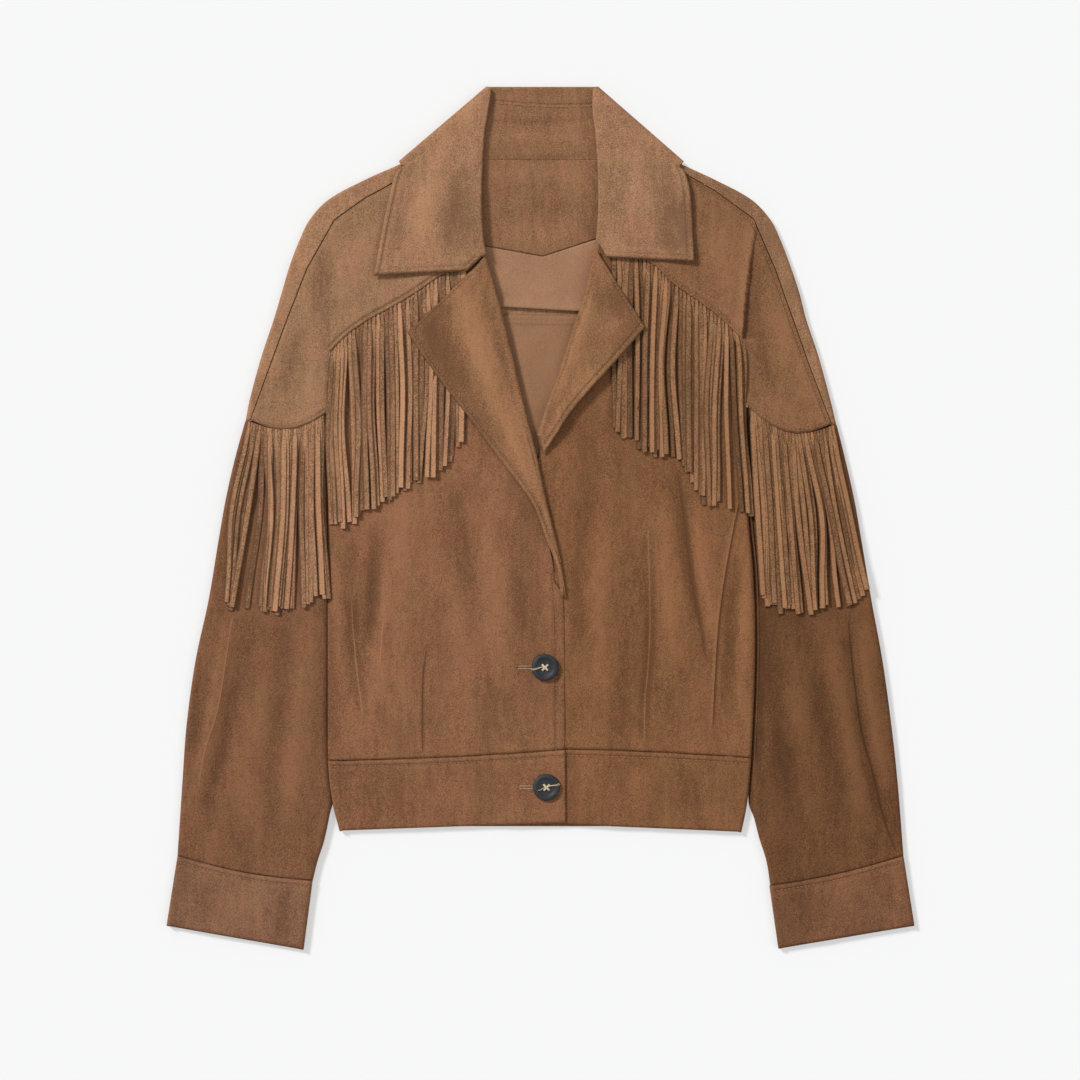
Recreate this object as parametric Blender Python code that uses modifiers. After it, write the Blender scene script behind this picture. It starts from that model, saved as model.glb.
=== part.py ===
"""Fringed cropped suede jacket, laid flat on its back, as named cloth walls in millimetres.

X runs to the right of the drawing, Y up to the neck and Z up from the floor.
Pattern tables are in grid steps of STEP mm: col counts from the left and row from the top.
Left and right are the drawing's, seen from above with the neck up.
"""

import math

import bmesh
import bpy
import numpy as np

# Driving sizes, in millimetres.
STEP = 0.86
MID_COL = 540.5
MID_ROW = 518.2
WALL = 1.5
THIN_WALL = 1.0
GAP = 0.35
BODY_TOP = 6.5
SLEEVE_TOP = 6.8
LEFT_OVER = 1.1
RIGHT_UNDER = 0.7
SEAM_RISE = 1.9
NECK_RISE = 1.1
FALL_ROOM = 2.1
FALL_LOW = 252.0
FALL_HIGH = 288.0
LEAF_EDGE_TOP = 10.6
LEAF_ROLL_TOP = 12.6
LAPEL_EDGE_TOP = 10.0
LAPEL_ROLL_TOP = 11.2
HOOK = 1.9
SIDE_UNDER = 8.0
LAPEL_SET_BACK = 6.0
LAPEL_ENDS_OVER = 14.0
NOTCH_ROOM = 2.4
LAPEL_ROOM = 1.4
SEAM_REACH = 24.0
SLEEVE_SEAM_REACH = 20.0
NECK_REACH = (50.0, 60.0)
SHOULDER_GAP = 0.95
CORNER_SHARE = 0.74
CUFF_GAP = 0.455
SIDE_GAP = 0.95
NECK_RADIUS = 2.2
STRAND_THICK = 1.2
STRIP_DEEP = 8.0
STRAND_FILL = 0.8
STRAND_SPANS = 3
END_WAVE = (3.0, 2.0)
SWAY = 1.6
LEAN = 1.4
STAND_TOP = 5.4
STAND_ROWS = (160.0, 90.0)
STAND_COLS = (474.0, 606.0)
STAND_NARROWS = (24.0, 128.0, 38.0)
STAND_HOOK = 2.2
FACING_WALL = 1.2
FACING_LIFT = 0.25
YOKE_STRANDS = 25
SLEEVE_STRANDS = 20
BUTTON_ACROSS = 23.0
BUTTON_THICK = 3.6
BUTTON_HOLE = 2.0
BUTTON_HOLE_APART = 5.2
BUTTON_SIDES = 20
BUTTON_BASE = 2.2
# Columns: share of the button's radius, height over its base. The top stands between them.
BUTTON_RISE = ((0.62, 0.0), (0.94, 0.9), (1.0, 1.9), (0.95, 3.1), (0.82, BUTTON_THICK),
               (0.68, 3.2), (0.58, 2.3))
HOLE_SIDES = 8
DRILL_DEEP = 12.0
BUTTONS = (("button_upper", 545.0, 667.0), ("button_lower", 546.5, 786.5))
COLLECTION = "fringed_cropped_jacket"

# Columns: col, row. The garment's outer edge from the neck point to the cuff's corner.
SILHOUETTE = {
    "left": (
        (470, 136), (430, 151), (393, 168), (366, 180), (329, 200), (310, 220), (300, 240),
        (290, 266), (282, 293), (274, 320), (262, 356), (250, 400), (246, 421),
    ),
    "right": (
        (610, 134), (650, 150), (688, 168), (714, 180), (751, 200), (770, 220), (780, 240),
        (790, 266), (799, 293), (806, 320), (818, 356), (830, 400), (836, 425),
    ),
}
SLEEVE_OUTER = {
    "left": (
        (245.6, 422), (235, 460), (226, 500), (219, 540), (209, 600), (196, 660), (187, 725),
        (183, 780), (178, 855),
    ),
    "right": (
        (836.4, 426), (845, 460), (854, 500), (861, 540), (871, 600), (882, 660), (891, 725),
        (897, 780), (903, 855),
    ),
}
# Columns: col, row. The body's side from the armpit to the hem.
BODY_SIDE = {
    "left": (
        (331, 352), (329, 385), (328, 430), (328, 520), (328, 640), (328, 760), (330, 785),
        (334, 808), (340, 831),
    ),
    "right": (
        (741, 340), (744, 385), (746, 440), (749, 516), (754, 570), (756, 635), (755, 690),
        (752, 757), (750, 785), (747, 808), (742, 832),
    ),
}
# Columns: col, row. The sleeve's inner edge from the sleeve seam to the cuff seam.
SLEEVE_INNER = {
    "left": (
        (327.3, 414), (327.3, 520), (327.3, 640), (327.3, 752), (329, 778), (331.5, 800),
        (325, 838), (318, 860), (313, 880),
    ),
    "right": (
        (746.6, 408), (750, 516), (755, 570), (757, 635), (756, 690), (753, 757),
        (750.4, 800), (757, 834), (765, 860), (769, 885),
    ),
}
SLEEVE_TOP_INNER = {
    "left": ((330.5, 351.5), (328, 385), (327.3, 413)),
    "right": ((741.8, 339.5), (744.6, 385), (746.6, 407)),
}
SEAM_BOW = {"left": 13.0 * STEP, "right": 17.0 * STEP}
CUFF_BOW = {"left": 4.0 * STEP, "right": 3.0 * STEP}
LAPEL_ENDS_ROW = {"left": 571.0, "right": 455.0}
# The hem band starts at this place of the body's side.
BAND_START = {"left": 5, "right": 7}
BAND_DIP = {"left": 1.7, "right": -1.7}
BAND_EDGE = {"left": ((565.5, 749), (566, 822)), "right": ((522, 748), (522, 822))}
# Columns: name, first row, last row, sections.
BACK_PANELS = (("back_body", 425.4, 756, 9), ("hem_band_back", 756.6, 826, 3))
CUFF_END = {"left": ((167, 925), (304, 949)), "right": ((914, 925), (778, 948))}
# Columns: col, row. The seam under the yoke, from the neck to the armpit.
YOKE_SEAM = {
    "left": ((484, 246), (450, 270), (423, 289), (401, 303), (367, 322), (346, 337), (331, 352)),
    "right": ((597, 238), (630, 252), (656, 268), (672, 284), (702, 305), (724, 323), (741, 340)),
}
# Columns: col, row. The seam on the shoulder, from the neck to the sleeve seam.
SHOULDER_SEAM = {
    "left": (
        (470, 140), (430, 162), (389, 186), (363, 200), (337, 218), (325, 235), (311, 260),
        (298, 294), (289, 315), (270, 367), (256, 400), (250.6, 420.5),
    ),
    "right": (
        (610, 138), (650, 156), (686, 175), (714, 191), (743, 210), (757, 224), (768, 250),
        (782, 290), (793, 320), (806, 358), (821, 397), (831.4, 424.5),
    ),
}
# Columns: col, row. The roll and front edge of each front, from the neck to the band.
FRONT_EDGE = {
    "left": (
        (487, 258), (499, 300), (513, 357), (526, 412), (536, 452), (545, 495), (552, 528),
        (559, 558), (564, 600), (565.5, 640), (565.5, 700), (565.5, 749),
    ),
    "right": (
        (593, 250), (585, 292), (573, 328), (560, 369), (546, 408), (535, 442), (527, 480),
        (523, 520), (522, 580), (522, 640), (522, 700), (522, 748),
    ),
}
# Columns: col, row. The lapel's free edge from its tip down, and the roll beside it.
LAPEL_EDGE = {
    "left": (
        (408, 333), (414, 343), (438, 378), (466, 414), (483, 437), (500, 460), (518, 483),
        (534, 507), (546, 539), (556, 562),
    ),
    "right": (
        (645, 328), (628, 348), (612, 366), (597, 382), (583, 398), (570, 414), (557, 434),
        (544, 454),
    ),
}
LAPEL_ROLL = {
    "left": ((487, 258), (499, 300), (513, 357), (526, 412), (536, 452), (545, 495), (554, 532),
             (561.5, 566)),
    "right": ((593, 250), (585, 292), (573, 328), (560, 369), (546, 408), (537.2, 436)),
}
# Columns: share of the silhouette from the neck, edge col, edge row, whether the end turns up.
BACK_YOKE_ROWS = {
    "left": (
        (1.00, 327.2, 412.5, 1), (0.86, 327.6, 398, 1), (0.72, 328, 383, 1),
        (0.58, 328.6, 367, 1), (0.43, 329.6, 351, 1), (0.31, 347, 350, 0), (0.29, 348, 385, 0),
        (0.27, 349, 425, 0), (0.22, 378, 425, 0), (0.15, 410, 425, 0), (0.08, 440, 425, 0),
        (0.00, 470, 425, 0),
    ),
    "right": (
        (1.00, 746.8, 406.5, 1), (0.86, 746, 392, 1), (0.72, 745, 376, 1), (0.58, 744, 358, 1),
        (0.43, 743, 339, 1), (0.31, 724, 338, 0), (0.29, 723, 380, 0), (0.27, 722, 425, 0),
        (0.22, 702, 425, 0), (0.15, 670, 425, 0), (0.08, 640, 425, 0), (0.00, 610, 425, 0),
    ),
}
# Columns: neck col, neck row, edge col, edge row, across the back's middle.
BACK_NECK_ROWS = ((492, 151, 494, 425), (516, 158, 517, 425), (540, 160, 540, 425),
                  (564, 158, 563, 425), (588, 150, 586, 425))
# Columns: roll col, roll row, free col, free row, lift of the roll from 0 to 1.
COLLAR_LEAF = {
    "left": (
        (484.5, 256, 374, 277, 1.0), (481.5, 238, 380, 244, 1.0), (480, 212, 386, 214, 1.0),
        (480, 188, 391, 192, 1.0), (481, 162, 395, 177, 0.8), (483, 135, 399, 171, 0.5),
        (487, 112, 401.5, 169, 0.25),
    ),
    "right": (
        (597.5, 244, 694, 263, 1.0), (599, 228, 692.5, 236, 1.0), (600, 208, 691.5, 214, 1.0),
        (600, 186, 689.5, 192, 1.0), (599, 160, 686, 178, 0.8), (597, 135, 682.5, 171, 0.5),
        (594, 112, 680, 169, 0.25),
    ),
}
# Where the leaf's lower edge bends, as a share from the roll, and how deep.
COLLAR_KINK = {"left": 0.16, "right": 0.09}
COLLAR_KINK_DEEP = 13.0
COLLAR_FOLD = {"left": ((487.5, 86.5), (399, 162)), "right": ((597, 86.5), (683.5, 162))}
# Columns: roll col, roll row, free col, free row, from the left fold to the right one.
COLLAR_FALL = ((500, 90.6, 425, 172), (512, 90, 462, 175), (526, 90, 502, 177),
               (542, 90, 542, 178), (558, 90, 581, 177), (572, 90, 620, 175),
               (585, 90.6, 658, 172))
# Columns: share along the roots, end col, end row.
YOKE_ENDS = {
    "left": (
        (0.0, 333, 525), (0.12, 347, 526), (0.25, 363, 514), (0.4, 385, 502), (0.6, 412, 485),
        (0.8, 438, 466), (1.0, 463, 441),
    ),
    "right": (
        (0.0, 611, 431), (0.2, 638, 446), (0.45, 672, 457), (0.65, 700, 493), (0.78, 714, 504),
        (0.9, 734, 514), (1.0, 746, 518),
    ),
}
YOKE_ROOTS = {"left": (0.12, 0.96), "right": (0.09, 0.96)}
SLEEVE_ROOTS = (0.06, 0.96)
SLEEVE_ENDS = {
    "left": ((0.0, 229, 604), (0.3, 258, 609), (0.6, 285, 610), (0.85, 309, 605), (1.0, 323, 594)),
    "right": ((0.0, 761, 594), (0.15, 770, 605), (0.5, 803, 611), (0.8, 842, 606), (1.0, 864, 592)),
}
# Columns: col, row. Edges of the facing and the lining: broken lines from left to right.
FACING_TOP = ((460, 161), (620, 161))
FACING_LOW = ((460, 241.6), (543, 256.6), (620, 231.4))
LINING_TOP = ((460, 242.0), (543, 257), (620, 231.8))
LINING_HEM = ((460, 304.7), (620, 313.9))
LOWER_TOP = ((460, 313.6), (620, 317.1))
LOWER_END = ((460, 470), (620, 470))
# Columns: name, upper edge, lower edge, first cols, last cols, steps, lift, wall, finish.
INNER_SHEETS = (
    ("neck_facing", FACING_TOP, FACING_LOW, (474, 468), (606, 610), 6, FACING_LIFT, FACING_WALL,
     "suede_body"),
    ("lining_upper", LINING_TOP, LINING_HEM, (468, 482), (610, 590), 4, 0.0, THIN_WALL,
     "lining_twill"),
    ("lining_lower", LOWER_TOP, LOWER_END, (480, 512), (592, 556), 7, 0.0, THIN_WALL,
     "lining_twill"),
)
# Columns: from col, from row, to col, to row, height in mm, half width in mm.
BODY_FOLDS = (
    (376, 545, 372, 640, -1.1, 12.0), (386, 600, 382, 690, 1.2, 12.0),
    (424, 680, 424, 745, -0.8, 9.0), (684, 545, 704, 655, -1.3, 11.0),
    (700, 560, 714, 660, 1.3, 11.0), (648, 620, 645, 735, -0.7, 9.0),
    (722, 560, 716, 715, -1.1, 9.0), (470, 560, 476, 700, 0.9, 22.0),
    (600, 600, 604, 720, 1.0, 22.0),
)
SLEEVE_FOLDS = (
    (232, 640, 204, 775, 1.6, 12.0), (252, 660, 226, 800, -1.0, 11.0),
    (300, 640, 292, 800, 1.2, 14.0), (851, 655, 876, 790, -1.3, 11.0),
    (868, 660, 893, 800, 1.5, 10.0), (800, 650, 818, 800, 1.2, 16.0),
)
YOKE_FOLDS = ((752, 232, 746, 318, -1.0, 9.0), (330, 240, 322, 320, -0.6, 12.0))
# Columns: name, red, green, blue, roughness.
MATERIALS = (
    ("suede_body", 0.235, 0.112, 0.056, 0.95),
    ("suede_sleeve", 0.200, 0.098, 0.050, 0.95),
    ("suede_collar", 0.330, 0.178, 0.103, 0.95),
    ("suede_fringe", 0.225, 0.115, 0.057, 0.95),
    ("lining_twill", 0.345, 0.190, 0.112, 0.80),
    ("button_resin", 0.037, 0.032, 0.026, 0.45),
)


def at(col, row):
    """A place on the pattern grid, in millimetres."""
    return np.array([(col - MID_COL) * STEP, (MID_ROW - row) * STEP])


def soft(value):
    """Rises smoothly from 0 to 1."""
    value = min(max(value, 0.0), 1.0)
    return value * value * (3 - 2 * value)


def through(table, shares):
    """Points at these shares of the length of a smooth curve through the table's places."""
    knots = np.array([at(*place[:2]) for place in table])
    dense = [knots[0]]
    for i in range(len(knots) - 1):
        a = knots[max(i - 1, 0)]
        b = knots[i]
        c = knots[i + 1]
        d = knots[min(i + 2, len(knots) - 1)]
        span = np.linalg.norm(c - b)
        start = (c - a) / max(np.linalg.norm(c - b) + np.linalg.norm(b - a), 1e-9) * span
        end = (d - b) / max(np.linalg.norm(d - c) + np.linalg.norm(c - b), 1e-9) * span
        for t in np.linspace(0, 1, 13)[1:]:
            h1 = 2 * t**3 - 3 * t**2 + 1
            h2 = t**3 - 2 * t**2 + t
            h3 = 3 * t**2 - 2 * t**3
            h4 = t**3 - t**2
            dense.append(h1 * b + h2 * start + h3 * c + h4 * end)
    dense = np.array(dense)
    steps = np.linalg.norm(np.diff(dense, axis=0), axis=1)
    along = np.concatenate([[0], np.cumsum(steps)]) / steps.sum()
    return np.stack([np.interp(shares, along, dense[:, k]) for k in (0, 1)], axis=1)


def beside(line, side):
    """Unit normals along a line of points, towards the garment's middle."""
    run = np.gradient(line, axis=0)
    run /= np.linalg.norm(run, axis=1)[:, None]
    turned = np.stack([-run[:, 1], run[:, 0]], axis=1)
    inward = 1.0 if side == "left" else -1.0
    flip = np.where(turned[:, :1] * inward < 0, -1.0, 1.0)
    return turned * flip


def away(x, y, c0, r0, c1, r1):
    """Distance from a line between two grid places."""
    a = at(c0, r0)
    b = at(c1, r1)
    run = b - a
    t = min(max(float(np.dot(np.array([x, y]) - a, run) / np.dot(run, run)), 0.0), 1.0)
    return float(np.linalg.norm(np.array([x, y]) - a - run * t))


def relief(x, y, folds):
    """Height that the soft folds add at a place."""
    return sum(f[4] * math.exp(-((away(x, y, *f[:4]) / f[5]) ** 2)) for f in folds)


def front_top(x, y, side):
    """Height of a front's outer face, without its folds."""
    low = soft((100.0 - y) / 35.0)
    if side == "left":
        return BODY_TOP + LEFT_OVER * soft((x + 45.0) / 25.0) * low
    return BODY_TOP - RIGHT_UNDER * soft((50.0 - x) / 22.0) * low


def yoke_floor(x, y):
    """Height of the back yoke's outer face over the floor, raised over the collar's fall."""
    return FALL_ROOM * min(max((y - FALL_LOW) / (FALL_HIGH - FALL_LOW), 0.0), 1.0)


def seam_near(x, y, line, reach):
    """1 on a line of points, falling to 0 at that reach."""
    return soft(1.0 - float(np.min(np.hypot(line[:, 0] - x, line[:, 1] - y))) / reach)


def collection():
    if COLLECTION not in bpy.data.collections:
        made = bpy.data.collections.new(COLLECTION)
        bpy.context.scene.collection.children.link(made)
    return bpy.data.collections[COLLECTION]


def material(name):
    if name not in bpy.data.materials:
        made = bpy.data.materials.new(name)
        made.use_nodes = True
        row = next(row for row in MATERIALS if row[0] == name)
        shader = made.node_tree.nodes["Principled BSDF"]
        shader.inputs["Base Color"].default_value = (row[1], row[2], row[3], 1.0)
        shader.inputs["Roughness"].default_value = row[4]
    return bpy.data.materials[name]


def place(name, mesh, finish):
    """Puts a mesh in the collection with its own copy of a finish."""
    for vert in mesh.vertices:
        vert.co *= 0.001
    obj = bpy.data.objects.new(name, mesh)
    own = material(finish).copy()
    own.name = f"{finish}_{name}"
    mesh.materials.append(own)
    collection().objects.link(obj)
    return obj


def loft(name, rows, finish, ring=False, flip=False, wall=WALL):
    """A cloth wall: a sheet through rows of outer points, made thick towards its inside."""
    count = len(rows[0])
    faces = []
    for i in range(len(rows) - 1):
        for j in range(count if ring else count - 1):
            k = (j + 1) % count
            quad = [i * count + j, i * count + k, (i + 1) * count + k, (i + 1) * count + j]
            faces.append(quad[::-1] if flip else quad)
    mesh = bpy.data.meshes.new(name)
    mesh.from_pydata([tuple(map(float, p)) for row in rows for p in row], [], faces)
    obj = place(name, mesh, finish)
    thick = obj.modifiers.new("wall", "SOLIDIFY")
    thick.thickness = wall * 0.001
    thick.offset = -1.0
    return obj


def curled(edge, inward, far, low, top, under, count, spans=4):
    """A section that starts under an edge, turns round it and runs over the top to a far place."""
    radius = (top(edge[0], edge[1], 0.0) - low) / 2
    inner = edge + inward * radius
    points = []
    if under > 0:
        for t in (1.0, 0.0):
            spot = inner + inward * under * t
            points.append((spot[0], spot[1], low))
    for step in range(1, spans):
        turn = math.pi * step / spans
        spot = inner - inward * radius * math.sin(turn)
        points.append((spot[0], spot[1], low + radius * (1 - math.cos(turn))))
    for step in range(count + 1):
        u = step / count
        spot = inner + (far - inner) * u
        points.append((spot[0], spot[1], top(spot[0], spot[1], u)))
    return points


def front(side):
    """A front: from the side seam underneath, round the side and over to the front edge."""
    rows = 17
    shares = np.linspace(0, 1, rows)
    side_line = through(BODY_SIDE[side][:BAND_START[side] + 1], shares)
    edge_line = through(FRONT_EDGE[side], shares)
    edge_in = -beside(edge_line, side)
    side_in = beside(side_line, side)
    side_in[-1] = (1.0 if side == "left" else -1.0, 0.0)
    seam = through(YOKE_SEAM[side], np.linspace(0, 1, 60))
    sections = []
    for i in range(rows):
        place_row = MID_ROW - edge_line[i][1] / STEP
        over = LAPEL_ENDS_ROW[side] + LAPEL_ENDS_OVER - place_row
        back = LAPEL_SET_BACK * soft(over / LAPEL_ENDS_OVER)
        far = edge_line[i] + edge_in[i] * back

        def top(x, y, u):
            fade = soft(u / 0.12) * soft((1 - u) / 0.2)
            return front_top(x, y, side) + fade * relief(x, y, BODY_FOLDS)

        section = curled(side_line[i], side_in[i], far, 0.0, top, SIDE_UNDER, 9)
        if i == 0:
            section = bent_to(section, seam, side)
        if i == rows - 1:
            section = dipped(section, 9, BAND_DIP[side])
        sections.append(section)
    return loft(f"front_{side}", sections, "suede_body", flip=(side == "left"))


def bent_to(section, seam, side):
    """Moves a front's first row so that its top follows the yoke seam."""
    order = np.argsort(seam[:, 0])
    moved = []
    for k, point in enumerate(section):
        if k < 6:
            moved.append(point)
            continue
        y = float(np.interp(point[0], seam[order, 0], seam[order, 1])) - GAP
        share = soft((k - 5) / 2.0)
        moved.append((point[0], point[1] + (y - point[1]) * share, point[2]))
    return moved


def dipped(section, count, dip):
    """Lowers the top of a section by a shallow arc."""
    first = len(section) - count - 1
    return [(p[0], p[1] - dip * math.sin(math.pi * max(k - first, 0) / count), p[2])
            for k, p in enumerate(section)]


def band(side):
    """The hem band of one front."""
    rows = 4
    shares = np.linspace(0, 1, rows)
    side_line = through(BODY_SIDE[side][BAND_START[side]:], shares)
    side_line[0][1] -= GAP
    side_in = beside(side_line, side)
    side_in[0] = (1.0 if side == "left" else -1.0, 0.0)
    edge_line = through(BAND_EDGE[side], shares)
    edge_line[0][1] -= GAP
    sections = []
    for i in range(rows):

        def top(x, y, u):
            return front_top(x, y, side)

        section = curled(side_line[i], side_in[i], edge_line[i], 0.0, top, SIDE_UNDER, 9)
        sections.append(dipped(section, 9, BAND_DIP[side] * (1 - i / (rows - 1))))
    return loft(f"hem_band_{side}", sections, "suede_body", flip=(side == "left"))


def back_panels():
    """The back and its band, flat on the floor between the side seams."""
    inset = BODY_TOP / 2 + SIDE_UNDER + SIDE_GAP
    for name, first, last, rows in BACK_PANELS:
        sections = []
        for row in np.linspace(first, last, rows):
            y = at(0, row)[1]
            lines = [through(BODY_SIDE[side], np.linspace(0, 1, 90)) for side in ("left", "right")]
            x0, x1 = (float(np.interp(-y, -line[:, 1], line[:, 0])) for line in lines)
            xs = np.linspace(x0 + inset, x1 - inset, 9)
            sections.append([(x, y, 0.0) for x in xs])
        loft(name, sections, "suede_body")


def shoulder_points(side):
    """Where the back yoke ends on top of the shoulder, from the neck to the sleeve seam."""
    outline = through(SILHOUETTE[side], np.linspace(0, 1, 101))
    seam = through(SHOULDER_SEAM[side], np.linspace(0, 1, 101))
    found = []
    for share, *_ in BACK_YOKE_ROWS[side][::-1]:
        near = int(np.argmin(np.hypot(*(seam - outline[round(share * 100)]).T)))
        found.append(seam[100 if share == 1.0 else near])
    return np.array(found)


def back_yoke():
    """The back yoke in one with the upper sleeves' backs, brought over the shoulders."""
    rows = []
    for side in ("left", "right"):
        table = BACK_YOKE_ROWS[side]
        outline = through(SILHOUETTE[side], np.linspace(0, 1, 101))
        inward = beside(outline, side)
        part = []
        for (share, col, row, ends_up), target in zip(table, shoulder_points(side)[::-1]):
            k = round(share * 100)
            edge = outline[k]
            if share == 1.0:
                inward[k] = (at(col, row) - edge) / np.linalg.norm(at(col, row) - edge)
            radius = (BODY_TOP - yoke_floor(*edge)) / 2
            inner = edge + inward[k] * radius
            opened = soft(share / 0.2)
            part.append(yoke_section(edge, inner, inward[k], radius, target, at(col, row),
                                     ends_up, opened))
        rows.append(part)
    middle = []
    for col, row, edge_col, edge_row in BACK_NECK_ROWS:
        edge = at(col, row)
        inward = np.array([0.0, -1.0])
        middle.append(yoke_section(edge, edge + inward * NECK_RADIUS, inward, NECK_RADIUS, edge,
                                   at(edge_col, edge_row), 0, 0.0))
    sections = rows[0] + middle + rows[1][::-1]
    return loft("back_yoke", sections, "suede_body", flip=True)


def yoke_section(edge, inner, inward, radius, target, far, ends_up, opened):
    """One section of the back yoke: shoulder seam, round the edge, then underneath."""
    low = yoke_floor(*inner)
    points = []
    top = low + 2 * radius * opened
    reach = float(np.linalg.norm(target - inner)) * opened
    toward = (target - inner) / max(float(np.linalg.norm(target - inner)), 1e-6)
    if opened == 0.0:
        for k in range(6):
            spot = edge + inward * radius * k / 6
            points.append((spot[0], spot[1], yoke_floor(*spot)))
    else:
        turn_all = math.pi * opened
        over = inner - inward * radius * math.sin(turn_all)
        high = low + radius * (1 - math.cos(turn_all))
        for t in (1.0, 0.5):
            spot = over + toward * max(reach, 1.2) * t
            points.append((spot[0], spot[1], high))
        for k in range(4, 0, -1):
            turn = turn_all * k / 4
            spot = inner - inward * radius * math.sin(turn)
            points.append((spot[0], spot[1], low + radius * (1 - math.cos(turn))))
    run = far - inner
    long = float(np.linalg.norm(run))
    run = run / long
    bend = BODY_TOP / 2
    shares = [0.0, 0.25, 0.5, 0.75, 1.0]
    if inner[1] > FALL_HIGH + 4.0:
        crossing = [(inner[1] - level) / (-run[1] * (long - bend)) for level in
                    (FALL_HIGH, FALL_LOW)]
        shares = [0.0, crossing[0], crossing[1], (1 + crossing[1]) / 2, 1.0]
    for k in shares:
        spot = inner + run * (long - bend) * k
        points.append((spot[0], spot[1], yoke_floor(*spot)))
    if ends_up:
        for turn in (math.pi / 4, math.pi / 2):
            spot = inner + run * (long - bend + bend * math.sin(turn))
            points.append((spot[0], spot[1], bend * (1 - math.cos(turn))))
        points.append((far[0], far[1], BODY_TOP - WALL - GAP))
    else:
        for t in (0.4, 0.7, 1.0):
            spot = inner + run * (long - bend + bend * t)
            points.append((spot[0], spot[1], yoke_floor(*spot)))
    return points


def front_yoke(side):
    """A front yoke cut in one with the front of the upper sleeve."""
    rows = 17
    shares = np.linspace(0, 1, rows)
    line = shoulder_points(side)
    steps = np.concatenate([[0], np.cumsum(np.linalg.norm(np.diff(line, axis=0), axis=1))])
    shoulder = np.stack([np.interp(shares * steps[-1], steps, line[:, k]) for k in (0, 1)], axis=1)
    seam = through(YOKE_SEAM[side], np.linspace(0, 1, 80))
    bow = SEAM_BOW[side]
    low_row = through((SLEEVE_OUTER[side][0], SLEEVE_INNER[side][0]), np.linspace(0, 1, 40))
    low_row[:, 1] -= np.sin(np.linspace(0, math.pi, 40)) * bow
    sections = []
    for i, share in enumerate(shares):
        if share <= CORNER_SHARE:
            t = share / CORNER_SHARE
            far = through(YOKE_SEAM[side], [0.04 + 0.96 * t])[0] + np.array([0.0, GAP])
        else:
            t = (share - CORNER_SHARE) / (1 - CORNER_SHARE)
            far = through(SLEEVE_TOP_INNER[side], [t])[0]
        near = shoulder[i]
        run = (far - near) / np.linalg.norm(far - near)
        near = near + run * SHOULDER_GAP
        dip = bow * max(0.0, (share - 0.72) / 0.28) ** 1.5
        section = []
        for step in range(10):
            u = step / 9
            spot = near + (far - near) * u
            spot = spot - np.array([0.0, dip * math.sin(math.pi * u)])
            x, y = spot
            raised = max(
                SEAM_RISE * seam_near(x, y, seam, SEAM_REACH),
                SEAM_RISE * seam_near(x, y, low_row, SLEEVE_SEAM_REACH),
                NECK_RISE * soft(1.0 - (abs(x) - NECK_REACH[0]) / NECK_REACH[1]),
            )
            fade = soft(u / 0.15) * soft((1 - u) / 0.15)
            section.append((x, y, BODY_TOP + raised + fade * relief(x, y, YOKE_FOLDS)))
        sections.append(section)
    return loft(f"front_yoke_{side}", sections, "suede_body", flip=(side == "left"))


def tube(name, outer, inner, side, bow, top_height, folds, finish, fade_ends):
    """A flattened sleeve or cuff: rings between its outer and its inner edge."""
    rings = []
    total = len(outer)
    for i in range(total):
        a = outer[i]
        b = inner[i]
        run = (b - a) / np.linalg.norm(b - a)
        width = float(np.linalg.norm(b - a))
        radius = top_height / 2
        share = i / (total - 1)
        dip = bow[0] * max(0.0, 1 - share / 0.25) + bow[1] * max(0.0, (share - 0.75) / 0.25)
        ring = []
        for step in range(10):
            u = step / 9
            spot = a + run * (radius + (width - 2 * radius) * u)
            spot = spot - np.array([0.0, dip * math.sin(math.pi * u)])
            fade = soft(u / 0.1) * soft((1 - u) / 0.1)
            if fade_ends:
                fade *= soft(share / 0.2) * soft((1 - share) / 0.1)
            ring.append((spot[0], spot[1], top_height + fade * relief(spot[0], spot[1], folds)))
        for step in range(1, 4):
            turn = math.pi * step / 4
            spot = b - run * radius * (1 - math.sin(turn))
            ring.append((spot[0], spot[1], radius * (1 + math.cos(turn))))
        for step in range(4):
            u = 1 - step / 3
            spot = a + run * (radius + (width - 2 * radius) * u)
            ring.append((spot[0], spot[1], 0.0))
        for step in range(3, 0, -1):
            turn = math.pi * step / 4
            spot = a + run * radius * (1 - math.sin(turn))
            ring.append((spot[0], spot[1], radius * (1 + math.cos(turn))))
        rings.append(ring)
    return loft(name, rings, finish, ring=True, flip=(side == "left"))


def sleeve(side):
    shares = np.linspace(0, 1, 14)
    outer = through(SLEEVE_OUTER[side], shares)
    inner = through(SLEEVE_INNER[side], shares)
    bow = (SEAM_BOW[side], CUFF_BOW[side])
    outer[0] += (0.0, -GAP)
    inner[0] += (0.0, -GAP)
    tube(f"sleeve_{side}", outer, inner, side, bow, SLEEVE_TOP, SLEEVE_FOLDS, "suede_sleeve", True)
    ends = CUFF_END[side]
    cuff_outer = through((SLEEVE_OUTER[side][-1], ends[0]), np.linspace(0, 1, 4))
    cuff_inner = through((SLEEVE_INNER[side][-1], ends[1]), np.linspace(0, 1, 4))
    for line in (cuff_outer, cuff_inner):
        line[0] += (0.0, -CUFF_GAP)
    tube(f"cuff_{side}", cuff_outer, cuff_inner, side, (bow[1], 0.0), SLEEVE_TOP, (),
         "suede_sleeve", False)


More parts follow.
